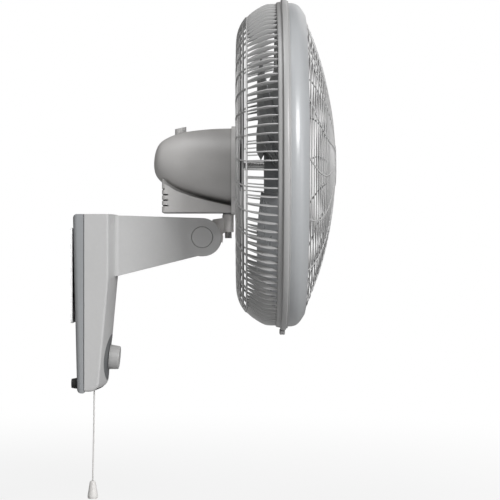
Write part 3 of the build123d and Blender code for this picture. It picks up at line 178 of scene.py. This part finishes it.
def worked(tree, operation, first, second):
    node = tree.nodes.new("ShaderNodeMath")
    node.operation = operation
    for socket, given in zip(node.inputs, (first, second)):
        if isinstance(given, (int, float)):
            socket.default_value = given
        else:
            tree.links.new(given, socket)
    return node.outputs[0]


def tinted(tree, operation, share, first, second):
    node = tree.nodes.new("ShaderNodeMix")
    node.data_type = "RGBA"
    node.blend_type = operation
    sockets = (node.inputs[0], node.inputs[6], node.inputs[7])
    for socket, given in zip(sockets, (share, first, second)):
        if isinstance(given, (int, float, tuple)):
            socket.default_value = given
        else:
            tree.links.new(given, socket)
    return node.outputs[2]


def shaded(tree, colour, level, share=1.0):
    """The colour multiplied by a value from 0 to about 1, by this share."""
    tone = tree.nodes.new("ShaderNodeCombineColor")
    for channel in tone.inputs:
        tree.links.new(level, channel)
    return tinted(tree, "MULTIPLY", share, colour, tone.outputs[0])


COLOUR, VALUE, VECTOR = "NodeSocketColor", "NodeSocketFloat", "NodeSocketVector"

# Metal skin: long fine scratches along one direction, cloudy plating and duller patches.
metal_skin, given, put = effect(
    "metal_skin",
    [("Colour", COLOUR, (0.6, 0.6, 0.6, 1.0)), ("Base Roughness", VALUE, 0.3),
     ("Scratch Depth", VALUE, 0.2)],
    [("Colour", COLOUR), ("Roughness", VALUE), ("Normal", VECTOR)])
where = metal_skin.nodes.new("ShaderNodeTexCoord").outputs["Object"]
stretch = metal_skin.nodes.new("ShaderNodeMapping")
stretch.inputs["Scale"].default_value = (90.0, 2600.0, 2600.0)
metal_skin.links.new(where, stretch.inputs["Vector"])
scratches = noise(metal_skin, stretch.outputs[0], 1.0, 3.0).outputs["Fac"]
cloud = noise(metal_skin, where, 60.0, 4.0).outputs["Fac"]
lift = ranged(metal_skin, cloud, 0.3, 0.7, 0.93, 1.05).outputs[0]
metal_skin.links.new(shaded(metal_skin, given.outputs["Colour"], lift), put.inputs["Colour"])
rub = ranged(metal_skin, scratches, 0.3, 0.7, -0.06, 0.10).outputs[0]
roughened = worked(metal_skin, "ADD", given.outputs["Base Roughness"], rub)
metal_skin.links.new(roughened, put.inputs["Roughness"])
ridge = metal_skin.nodes.new("ShaderNodeBump")
ridge.inputs["Distance"].default_value = 0.00004
metal_skin.links.new(given.outputs["Scratch Depth"], ridge.inputs["Strength"])
metal_skin.links.new(scratches, ridge.inputs["Height"])
metal_skin.links.new(ridge.outputs[0], put.inputs["Normal"])


def skinned(name, group, colour, values, gloss=()):
    """A material whose colour, roughness and normal come from a skin group; gloss names constants."""
    material = bpy.data.materials.new(name)
    material.use_nodes = True
    nodes_of = material.node_tree.nodes
    shader = nodes_of["Principled BSDF"]
    skin = nodes_of.new("ShaderNodeGroup")
    skin.node_tree = group
    skin.inputs["Colour"].default_value = (*colour, 1.0)
    for label, value in values.items():
        skin.inputs[label].default_value = value
    for source, target in (("Colour", "Base Color"), ("Roughness", "Roughness"), ("Normal", "Normal")):
        material.node_tree.links.new(skin.outputs[source], shader.inputs[target])
    for label, value in dict(gloss).items():
        shader.inputs[label].default_value = value
    material.diffuse_color = (*colour, 1.0)
    return material


def grey(level, warm=0.0):
    """A linear colour from a grey level of 0 to 255 as seen on a screen, warmed or cooled a little."""
    tone = ((level / 255.0 + 0.055) / 1.055) ** 2.4
    return tone * (1 + warm), tone, tone * (1 - warm)


def finished(node, material):
    """A plain part that keeps its shape and gets this finish."""
    nodes[node].data.materials.clear()
    nodes[node].data.materials.append(material)


plate_enamel = skinned("plate_enamel", metal_skin, grey(240, -0.005),
                       {"Base Roughness": 0.5, "Scratch Depth": 0.1})
finished("wall_plate", plate_enamel)
zinc_screw = skinned("zinc_screw", metal_skin, grey(176, -0.01),
                     {"Base Roughness": 0.34, "Scratch Depth": 0.25}, {"Metallic": 1.0})
for node in ("housing_screws", "bracket_screws"):
    finished(node, zinc_screw)

# ---------------------------------------------------------------------------------------------
# Back case: the rear half of the wall box, a mid-grey moulding with a fine spark-eroded grain that
# is a shade darker than the front. Its seam with the front is a thin dark line.

# Moulded skin: fine grain, a slow drift of shade, rounded edges that catch the light, painted shade
# darkening the crevices, and dust on upward faces.
moulded_skin, given, put = effect(
    "moulded_skin",
    [("Colour", COLOUR, (0.5, 0.5, 0.5, 1.0)), ("Base Roughness", VALUE, 0.45),
     ("Grain Scale", VALUE, 1500.0), ("Grain Depth", VALUE, 0.2), ("Dust", VALUE, 0.15),
     ("Painted Shade", VALUE, 1.0)],
    [("Colour", COLOUR), ("Roughness", VALUE), ("Normal", VECTOR)])
place = moulded_skin.nodes.new("ShaderNodeTexCoord")
where = place.outputs["Object"]
drift = noise(moulded_skin, where, 7.0, 2.0).outputs["Fac"]
fleck = noise(moulded_skin, where, 240.0, 3.0).outputs["Fac"]
shade = worked(moulded_skin, "ADD", ranged(moulded_skin, drift, 0.3, 0.7, 0.965, 1.02).outputs[0],
               ranged(moulded_skin, fleck, 0.3, 0.7, -0.012, 0.012).outputs[0])
plain = shaded(moulded_skin, given.outputs["Colour"], shade)
facing = moulded_skin.nodes.new("ShaderNodeSeparateXYZ")
moulded_skin.links.new(place.outputs["Normal"], facing.inputs[0])
upward = ranged(moulded_skin, facing.outputs["Z"], 0.55, 0.98, 0.0, 1.0).outputs[0]
drifts = noise(moulded_skin, where, 45.0, 5.0, 0.7).outputs["Fac"]
settled = ranged(moulded_skin, drifts, 0.4, 0.75, 0.1, 1.0).outputs[0]
# Painted shade: ambient occlusion darkens the colour in creases, recesses and between close parts, by the
# given share.
shade_occlusion = moulded_skin.nodes.new("ShaderNodeAmbientOcclusion")
shade_occlusion.samples = 6
shade_occlusion.inputs["Distance"].default_value = 0.008
painted_crevice_shade = ranged(moulded_skin, shade_occlusion.outputs["AO"], 0.2, 0.85, 0.36, 1.0).outputs[0]
plain = shaded(moulded_skin, plain, painted_crevice_shade, given.outputs["Painted Shade"])
DUST_COLOUR = (0.55, 0.53, 0.49, 1.0)
lying = worked(moulded_skin, "MULTIPLY", upward, settled)
dusty = worked(moulded_skin, "MULTIPLY", lying, given.outputs["Dust"])
moulded_skin.links.new(tinted(moulded_skin, "MIX", dusty, plain, DUST_COLOUR), put.inputs["Colour"])
smears = noise(moulded_skin, where, 28.0, 4.0, 0.6).outputs["Fac"]
handled = ranged(moulded_skin, smears, 0.35, 0.7, -0.04, 0.06)
roughened = worked(moulded_skin, "ADD", given.outputs["Base Roughness"], handled.outputs[0])
dulled = worked(moulded_skin, "MULTIPLY", dusty, 0.3)
moulded_skin.links.new(worked(moulded_skin, "ADD", roughened, dulled), put.inputs["Roughness"])
grain = moulded_skin.nodes.new("ShaderNodeTexNoise")
grain.inputs["Detail"].default_value = 2.0
moulded_skin.links.new(where, grain.inputs["Vector"])
moulded_skin.links.new(given.outputs["Grain Scale"], grain.inputs["Scale"])
rounding = moulded_skin.nodes.new("ShaderNodeBevel")
rounding.samples = 4
rounding.inputs["Radius"].default_value = 0.0009
pebble = moulded_skin.nodes.new("ShaderNodeBump")
moulded_skin.links.new(rounding.outputs[0], pebble.inputs["Normal"])
pebble.inputs["Distance"].default_value = 0.00006
moulded_skin.links.new(given.outputs["Grain Depth"], pebble.inputs["Strength"])
moulded_skin.links.new(grain.outputs["Fac"], pebble.inputs["Height"])
moulded_skin.links.new(pebble.outputs[0], put.inputs["Normal"])

back_grey = skinned("back_case_grey", moulded_skin, grey(142, -0.035),
                    {"Base Roughness": 0.5, "Grain Depth": 0.35, "Dust": 0.1})
finished("back_case", back_grey)

# ---------------------------------------------------------------------------------------------
# Front housing and arm: one light-grey moulding with a crowned face and a beam that tapers to a
# round nose. Satin, with the same fine grain.
housing_grey = skinned("housing_grey", moulded_skin, grey(178, 0.0),
                       {"Base Roughness": 0.38, "Grain Depth": 0.25, "Dust": 0.12})
for node in ("front_housing", "pivot_caps"):
    finished(node, housing_grey)

# ---------------------------------------------------------------------------------------------
# Rubber feet and grommet: two black pads low on the back case that rest on the wall, and the black
# ring in the case's empty cable entry.
black_rubber = skinned("black_rubber", moulded_skin, grey(28), {
    "Base Roughness": 0.72, "Grain Depth": 0.5, "Grain Scale": 900.0, "Dust": 0.2})
for node in ("rubber_feet", "mains_grommet"):
    finished(node, black_rubber)

# ---------------------------------------------------------------------------------------------
# Arm bracket and tilt joint inside the arm: a die-cast bracket, a steel bolt and nut, and a bronze
# friction washer each side of the neck's hub. The motor's bells and the swing gear are of these metals.
cast_metal = skinned("cast_metal", metal_skin, grey(150), {"Base Roughness": 0.55, "Scratch Depth": 0.1},
                     {"Metallic": 1.0})
bright_steel = skinned("bright_steel", metal_skin, grey(190), {"Base Roughness": 0.24, "Scratch Depth": 0.2},
                       {"Metallic": 1.0})
oiled_bronze = skinned("oiled_bronze", metal_skin, (0.42, 0.28, 0.13), {"Base Roughness": 0.38},
                       {"Metallic": 1.0})
for node in ("arm_bracket", "osc_bracket", "gearbox_case", "motor_front_bell", "motor_rear_bell"):
    finished(node, cast_metal)
for node in ("tilt_bolt", "tilt_nut", "osc_shaft", "osc_nut", "osc_crank", "osc_link", "motor_shaft",
             "front_bearing", "rear_bearing", "cover_screws", "rim_screw"):
    finished(node, bright_steel)
for node in ("friction_washers", "osc_bush"):
    finished(node, oiled_bronze)

# ---------------------------------------------------------------------------------------------
# Tilt neck: the painted casting between the arm's nose and the head, with the sleeve that the head
# swings on.
# Its grey is painted much paler than the casting's own, painted light that lifts the shade it lies in.
neck_lit_paint = skinned("neck_lit_paint", moulded_skin, grey(226, 0.02), {
    "Base Roughness": 0.5, "Grain Depth": 0.5, "Grain Scale": 700.0, "Dust": 0.1, "Painted Shade": 0.5})
finished("tilt_neck", neck_lit_paint)

# ---------------------------------------------------------------------------------------------
# Motor: stacked steel laminations, lacquered copper end turns and the rotor, all inside the bells.
laminated = skinned("laminated_steel", metal_skin, grey(105), {"Base Roughness": 0.45, "Scratch Depth": 0.6},
                    {"Metallic": 1.0})
for node in ("stator_core", "rotor_core"):
    finished(node, laminated)
lacquered_wire = skinned("lacquered_wire", metal_skin, (0.46, 0.16, 0.06),
                         {"Base Roughness": 0.3, "Scratch Depth": 0.9}, {"Metallic": 0.8})
finished("stator_windings", lacquered_wire)

# ---------------------------------------------------------------------------------------------
# Motor cover, gear skirt and collar: three warm-grey mouldings round the motor. The cover is a
# round dome whose own axis climbs towards its rear. Collar and clutch knob take a paler copy of the
# cover's grey, painted light that lifts the shade falling on them.
cover_grey = skinned("cover_grey", moulded_skin, grey(192, 0.014),
                     {"Base Roughness": 0.42, "Grain Depth": 0.22, "Dust": 0.15})
for node in ("motor_cover", "gear_skirt"):
    finished(node, cover_grey)
collar_lit_grey = skinned("collar_lit_grey", moulded_skin, grey(224, 0.01), {
    "Base Roughness": 0.42, "Grain Depth": 0.22, "Dust": 0.1, "Painted Shade": 0.3})
for node in ("front_collar", "clutch_knob"):
    finished(node, collar_lit_grey)

# ---------------------------------------------------------------------------------------------
# Controls and the parts inside the wall box: the dark dial plate and the knob on it, and behind them
# the two switches, the capacitor and the terminal block, all of black moulded plastic.
dial_grey = skinned("dial_grey", moulded_skin, grey(96, -0.04), {"Base Roughness": 0.55, "Grain Depth": 0.5})
finished("dial_plate", dial_grey)
knob_grey = skinned("knob_grey", moulded_skin, grey(166, 0.005),
                    {"Base Roughness": 0.38, "Grain Depth": 0.2})
finished("selector_knob", knob_grey)
inner_black = skinned("inner_black", moulded_skin, grey(46), {"Base Roughness": 0.5, "Grain Depth": 0.4})
for node in ("selector_switch", "pull_switch", "cord_bush", "run_capacitor", "terminal_block",
             "pull_plunger", "guard_nut"):
    finished(node, inner_black)

# ---------------------------------------------------------------------------------------------
# Rear guard: one white-grey moulding. 120 curved fins make its side wall, every third one runs on
# as a radial rib to the centre, and rings tie them together.
MM = 0.001
AXIS_Z = 0.146
guard_white = skinned("guard_white", moulded_skin, grey(174, 0.0), {
    "Base Roughness": 0.36, "Grain Depth": 0.1, "Dust": 0.1})


def round_axis(y, radius, angle):
    """A point this many millimetres from the motor axis; angle 0 is towards +X, 90 degrees is up."""
    return Vector((radius * cos(angle) * MM, y * MM, AXIS_Z + radius * sin(angle) * MM))


def flowing(points, steps):
    """A smooth line through these points, with this many steps between one and the next."""
    line = []
    ends = [points[0], *points, points[-1]]
    for before, start, end, after in zip(ends, ends[1:], ends[2:], ends[3:]):
        for k in range(steps):
            t = k / steps
            line.append(tuple(
                0.5 * (2 * b + (c - a) * t + (2 * a - 5 * b + 4 * c - d) * t * t
                       + (3 * b - a - 3 * c + d) * t ** 3)
                for a, b, c, d in zip(before, start, end, after)))
    return line + [tuple(points[-1])]


def crossed(form, sections, closed):
    """Skin a row of like sections, each a loop of points; a closed row also joins last to first."""
    rows = [[form.verts.new(p) for p in section] for section in sections]
    pairs = list(zip(rows, rows[1:])) + ([(rows[-1], rows[0])] if closed else [])
    for near, far in pairs:
        for k in range(len(near)):
            form.faces.new((near[k], near[k - 1], far[k - 1], far[k]))
    if not closed:
        form.faces.new(rows[0])
        form.faces.new(list(reversed(rows[-1])))


def piece(name, form, material, body, *replaced, crease=38.0, kind=None):
    """The finished object from a mesh under work: it rides on a body and stands for the named nodes."""
    bmesh.ops.recalc_face_normals(form, faces=form.faces)
    mesh = bpy.data.meshes.new(name)
    form.to_mesh(mesh)
    form.free()
    mesh.materials.append(material)
    for face in mesh.polygons:
        face.use_smooth = True
    mesh.set_sharp_from_angle(angle=radians(crease))
    made = bpy.data.objects.new(name, mesh)
    scene.collection.objects.link(made)
    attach(made, body)
    if replaced:
        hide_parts(*replaced)
    return made


def ring(form, y, radius, wide, deep, turns, sides=8):
    """A ring about the motor axis with an oval section."""
    sections = []
    for k in range(turns):
        angle = 2 * pi * k / turns
        sections.append([
            round_axis(y + deep / 2 * sin(2 * pi * s / sides),
                       radius + wide / 2 * cos(2 * pi * s / sides), angle)
            for s in range(sides)])
    crossed(form, sections, True)


def turned(form, profile, turns):
    """A closed (y, radius) outline turned about the motor axis."""
    crossed(form, [[round_axis(y, r, 2 * pi * k / turns) for y, r in profile] for k in range(turns)], True)


def bar(form, path, wide, deep, sides=8):
    """A bar with an oval section that follows a path of (y, radius, angle) points."""
    spots = [round_axis(*spot) for spot in path]
    sections = []
    for k, spot in enumerate(spots):
        ahead = (spots[min(k + 1, len(spots) - 1)] - spots[max(k - 1, 0)]).normalized()
        angle = path[k][2]
        around = Vector((-sin(angle), 0.0, cos(angle)))
        around = (around - ahead * around.dot(ahead)).normalized()
        inward = ahead.cross(around)
        sections.append([
            spot + around * (wide / 2 * MM * cos(2 * pi * s / sides))
            + inward * (deep / 2 * MM * sin(2 * pi * s / sides))
            for s in range(sides)])
    crossed(form, sections, False)


FIN_COUNT = 120
RIB_EVERY = 3
FIN_T = 2.0
FIN_EDGE = 0.55  # the edge's share of a fin's greatest thickness
FIN_LIP, FIN_BELLY = 1.4, 5.6
FIN_MEAN_R = 205.0
FIN_HALF = FIN_T / 2 / FIN_MEAN_R
RIM_HALF = FIN_HALF * FIN_EDGE
SHOULDER = [(-270.0, 213.4), (-259.0, 213.4), (-251.0, 211.6), (-238.2, 204.1), (-228.2, 195.6)]
CURVE_R, FLAT_R, BACK_Y = 195.6, 150.0, -216.1
BACK_CURVE = [(-228.2, CURVE_R), (-221.9, 186.1), (-217.9, 175.8), (-216.2, 164.7), (BACK_Y, FLAT_R)]
CENTRE_R = 48.0
RIB_SWEEP = 0.10

cage = bmesh.new()
outer = flowing(SHOULDER, 5)
inner = []
for k, (y, r) in enumerate(outer):
    (y0, r0), (y1, r1) = outer[max(k - 1, 0)], outer[min(k + 1, len(outer) - 1)]
    run = sqrt((y1 - y0) ** 2 + (r1 - r0) ** 2)
    deep = FIN_LIP + FIN_BELLY * sin(pi * k / (len(outer) - 1))
    inner.append((y + deep * (r1 - r0) / run, r - deep * (y1 - y0) / run))
for k in range(FIN_COUNT):
    angle = 2 * pi * (k + 0.5) / FIN_COUNT
    sections = []
    for (y0, r0), (y1, r1) in zip(outer, inner):
        middle_y, middle_r = (y0 + y1) / 2, (r0 + r1) / 2
        sections.append([
            round_axis(y0, r0, angle - RIM_HALF), round_axis(y0, r0, angle + RIM_HALF),
            round_axis(middle_y, middle_r, angle + FIN_HALF), round_axis(y1, r1, angle + RIM_HALF),
            round_axis(y1, r1, angle - RIM_HALF), round_axis(middle_y, middle_r, angle - FIN_HALF)])
    crossed(cage, sections, False)
back_line = flowing(BACK_CURVE, 4)
for k in range(0, FIN_COUNT, RIB_EVERY):
    angle = 2 * pi * (k + 0.5) / FIN_COUNT
    line = list(back_line)
    for step in range(1, 9):
        line.append((BACK_Y, FLAT_R + (CENTRE_R - 2.0 - FLAT_R) * step / 8))
    sweep = [RIB_SWEEP * (1 - (r - CENTRE_R) / (CURVE_R - CENTRE_R)) for y, r in line]
    bar(cage, [(y, r, angle - turn) for (y, r), turn in zip(line, sweep)], 1.9, 2.6)
for y, r in ((-228.2, 195.4), (-223.4, 188.6), (-219.4, 180.0), (-217.2, 170.2)):
    ring(cage, y - 0.6, r, 2.1, 2.1, 200)
for r in (160.0, 149.0, 138.0, 127.0, 116.0, 105.0, 94.0, 83.0, 72.0, 61.0):
    ring(cage, -216.4, r, 1.9, 2.1, 160)
turned(cage, [(-268.6, 212.8), (-269.2, 213.7), (-271.8, 214.0), (-272.0, 211.8), (-269.2, 210.6)], 200)
turned(cage, [(-215.0, 25.0), (-215.0, 46.5), (-215.8, CENTRE_R), (-217.2, CENTRE_R), (-217.4, 46.5),
              (-217.4, 25.0)], 96)
piece("rear_guard_cage", cage, guard_white, "head", "rear_guard", kind="guard_plastic")

# ---------------------------------------------------------------------------------------------
# Rim band: the split hoop of channel section that clamps both guards' rims, drawn tight by a small
# screw through two lugs at its lowest point.
band_white = skinned("band_white", moulded_skin, grey(156, 0.0), {
    "Base Roughness": 0.34, "Grain Depth": 0.08, "Dust": 0.1})
hoop = bmesh.new()
turned(hoop, [(-267.3, 213.6), (-267.5, 214.6), (-268.8, 215.5), (-271.4, 216.1), (-273.3, 216.2),
              (-273.7, 216.7), (-273.8, 218.9), (-274.1, 219.6), (-274.8, 219.9), (-279.4, 219.9),
              (-280.2, 219.6), (-280.7, 218.9), (-280.8, 217.7), (-281.2, 217.3), (-282.4, 217.3),
              (-282.9, 216.8), (-282.9, 215.3), (-272.0, 215.2)], 220)
piece("rim_hoop", hoop, band_white, "head", "rim_band", kind="guard_plastic")
LUG_Y = -276.2
LUG_DEPTH = 7.2
LUG_INNER, LUG_OUTER = 1.0, 8.0
LUG_LOW, LUG_HIGH = AXIS_Z / MM - 225.6, AXIS_Z / MM - 218.5
for side in (-1, 1):
    lug = bmesh.new()
    near, far = sorted((side * LUG_INNER, side * LUG_OUTER))
    corners = bmesh.ops.create_cube(lug, size=1.0)["verts"]
    for corner in corners:
        corner.co = Vector(((far - near) * corner.co.x + (near + far) / 2, LUG_DEPTH * corner.co.y + LUG_Y,
                            (LUG_HIGH - LUG_LOW) * corner.co.z + (LUG_LOW + LUG_HIGH) / 2)) * MM
    bmesh.ops.bevel(lug, geom=lug.edges, offset=1.2 * MM, segments=3, affect="EDGES", profile=0.5)
    name = "rim_lug_left" if side > 0 else "rim_lug_right"
    piece(name, lug, band_white, "head", kind="guard_plastic")

# ---------------------------------------------------------------------------------------------
# Front cowl: the glossy blue-grey ring in front of the band, rolled in at its front edge, that the
# front guard is clipped into.
cowl_gloss = skinned("cowl_gloss", moulded_skin, grey(158, -0.03), {
    "Base Roughness": 0.34, "Grain Depth": 0.02, "Dust": 0.0, "Painted Shade": 0.0},
    {"Coat Weight": 0.35, "Coat Roughness": 0.3})
cowl = bmesh.new()
outside = flowing([(-282.0, 214.6), (-285.5, 214.7), (-289.5, 214.4), (-294.5, 212.6), (-299.0, 208.6),
                   (-302.6, 203.4), (-305.2, 199.2)], 4)
inside = flowing([(-305.0, 196.8), (-301.8, 199.6), (-297.5, 205.2), (-293.0, 209.6), (-288.0, 212.0),
                  (-273.2, 212.6)], 3)
turned(cowl, [(-273.2, 214.6), *outside, (-305.5, 198.0), *inside], 220)
piece("front_cowl_ring", cowl, cowl_gloss, "head", "front_cowl", kind="cowl_plastic")

# ---------------------------------------------------------------------------------------------
# Front guard: a shallow dome of fine rings on slightly swept ribs, moulded in one piece, with a flat
# seat for the badge.
DOME_EDGE_R = 196.3
DOME_APEX_Y = -347.1
DOME_RISE = 41.7
DOME_SPHERE = (DOME_EDGE_R ** 2 + DOME_RISE ** 2) / (2 * DOME_RISE)
DOME_RIBS = 16
RIB_BOW = 0.16
WIRE = 2.1
RING_PITCH = 9.4
BADGE_R = 30.0


def dome_y(radius, sunk=WIRE / 2):
    return DOME_APEX_Y + DOME_SPHERE - sqrt(DOME_SPHERE ** 2 - radius * radius) + sunk


grille = bmesh.new()
radius = BADGE_R + 6.0
while radius < DOME_EDGE_R - 5.0:
    ring(grille, dome_y(radius, 1.5), radius, 1.7, 1.8, 180)
    radius += RING_PITCH
for k in range(DOME_RIBS):
    path = []
    for step in range(19):
        r = BADGE_R - 3.0 + (DOME_EDGE_R - 1.2 - BADGE_R + 3.0) * step / 18
        bow = RIB_BOW * sin(pi * (r - BADGE_R) / (DOME_EDGE_R - BADGE_R))
        path.append((dome_y(r), r, 2 * pi * k / DOME_RIBS + pi / 2 + bow))
    bar(grille, path, WIRE, 2.0)
turned(grille, [(-301.6, 193.6), (-305.4, 193.4), (-306.0, 194.4), (-305.9, 196.0), (-301.6, 196.2)], 200)
seat_front = dome_y(0, 0.9)
seat_back = dome_y(BADGE_R)
turned(grille, [(seat_back + 1.6, 0.5), (seat_back + 1.6, BADGE_R - 1.0), (seat_back + 0.8, BADGE_R),
                (seat_front + 1.2, BADGE_R), (seat_front + 0.2, BADGE_R - 0.8), (seat_front, 0.5)], 72)
piece("front_guard_grille", grille, guard_white, "head", "front_guard", kind="guard_plastic")

# ---------------------------------------------------------------------------------------------
# Centre badge: a plain glossy disc pressed on the front guard, left blank.
badge_gloss = skinned("badge_gloss", moulded_skin, grey(198, -0.01), {
    "Base Roughness": 0.2, "Grain Depth": 0.03, "Dust": 0.05}, {"Coat Weight": 0.4, "Coat Roughness": 0.08})
badge = bmesh.new()
BADGE_FACE = [(0.0, 0.2), (0.0, 27.6), (0.7, 27.6), (1.1, 26.8), (1.0, 24.6), (0.8, 24.2), (1.3, 23.2),
              (1.8, 14.0), (1.98, 0.2)]  # how far each ring stands proud of the seat, and its radius
turned(badge, [(seat_front - proud, r) for proud, r in BADGE_FACE], 72)
piece("centre_disc", badge, badge_gloss, "head", "centre_badge", kind="guard_plastic")

# ---------------------------------------------------------------------------------------------
# Blade and spinner: three broad leaves on a cup-shaped hub, moulded in a dark smoke-grey plastic
# with a smooth skin, pushed on the shaft and held by the spinner.
blade_smoke = skinned("blade_smoke", moulded_skin, grey(116, -0.03), {
    "Base Roughness": 0.3, "Grain Depth": 0.0, "Dust": 0.03}, {"Coat Weight": 0.1, "Coat Roughness": 0.2})
for node in ("blade", "spinner"):
    finished(node, blade_smoke)

# ---------------------------------------------------------------------------------------------
# Dial print: the four settings 0 to 3 and a tick at each, printed round the knob in pale grey on the
# crowned oval plate. The knob turns clockwise from 0 in steps of 45 degrees.
DIAL_MIDDLE = (-45.34, -109.5)
DIAL_LEAN = radians(5.2)
DIAL_CROWN = 6.4 / 60.0 ** 2
DIGIT_SIZE, DIGIT_R = 7.0, (24.6, 24.4)
TICK_HALF, TICK_IN, TICK_OUT = 0.35, 17.6, 19.6
print_pale = skinned("dial_print_pale", moulded_skin, grey(196, 0.0),
                     {"Base Roughness": 0.6, "Grain Depth": 0.1})
lettering = bmesh.new()
for step in range(4):
    turn = radians(45.0 * step)
    digit = bpy.data.curves.new("digit", "FONT")
    digit.body = str(step)
    digit.size = DIGIT_SIZE
    digit.resolution_u = 4
    digit.align_x, digit.align_y = "CENTER", "CENTER"
    holder = bpy.data.objects.new("digit", digit)
    glyph = bpy.data.meshes.new_from_object(holder)
    first = len(lettering.verts)
    lettering.from_mesh(glyph)
    lettering.verts.ensure_lookup_table()
    for vert in lettering.verts[first:]:
        vert.co += Vector((DIGIT_R[0] * sin(turn), DIGIT_R[1] * cos(turn), 0.0))
    tick = [(-TICK_HALF, TICK_IN), (TICK_HALF, TICK_IN), (TICK_HALF, TICK_OUT), (-TICK_HALF, TICK_OUT)]
    lettering.faces.new([
        lettering.verts.new((u * cos(turn) + v * sin(turn), v * cos(turn) - u * sin(turn), 0.0))
        for u, v in tick])
    bpy.data.objects.remove(holder)
    bpy.data.meshes.remove(glyph)
for vert in lettering.verts:
    u, v = vert.co.x, vert.co.y
    vert.co = Vector((u, DIAL_MIDDLE[0] + DIAL_CROWN * u * u - v * sin(DIAL_LEAN) - 0.06,
                      DIAL_MIDDLE[1] + v * cos(DIAL_LEAN))) * MM
piece("dial_print", lettering, print_pale, "wall_unit", kind="dial_plastic")

# ---------------------------------------------------------------------------------------------
# Pull cord: a 2 mm braided nylon cord from the pull switch, hanging through the bush under the
# weight of its ivory pull. It is shown whole, so its length is the real one.
CORD_R = 1.0 * MM
cord_route = [(0.0, -25.2, -134.5), (0.0, -25.0, -177.5), (0.5, -24.1, -226.5), (0.2, -23.0, -275.2)]
braid = skinned("cord_braid", moulded_skin, grey(206, 0.015), {
    "Base Roughness": 0.8, "Grain Depth": 1.0, "Grain Scale": 2600.0, "Dust": 0.05})
line = bpy.data.curves.new("pull_cord_line", "CURVE")
line.dimensions = "3D"
line.bevel_depth = CORD_R
line.bevel_resolution = 4
line.resolution_u = 12
line.use_fill_caps = True
spline = line.splines.new("NURBS")
spline.points.add(len(cord_route) - 1)
for point, (x, y, z) in zip(spline.points, cord_route):
    point.co = (x * MM, y * MM, z * MM, 1.0)
spline.order_u = 3
spline.use_endpoint_u = True
line.materials.append(braid)
pull_line = bpy.data.objects.new("pull_cord_line", line)
scene.collection.objects.link(pull_line)
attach(pull_line, "pull")
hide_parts("pull_cord")
ivory = skinned("ivory_pull", moulded_skin, grey(214, 0.02), {"Base Roughness": 0.32, "Grain Depth": 0.1})
finished("cord_pull", ivory)
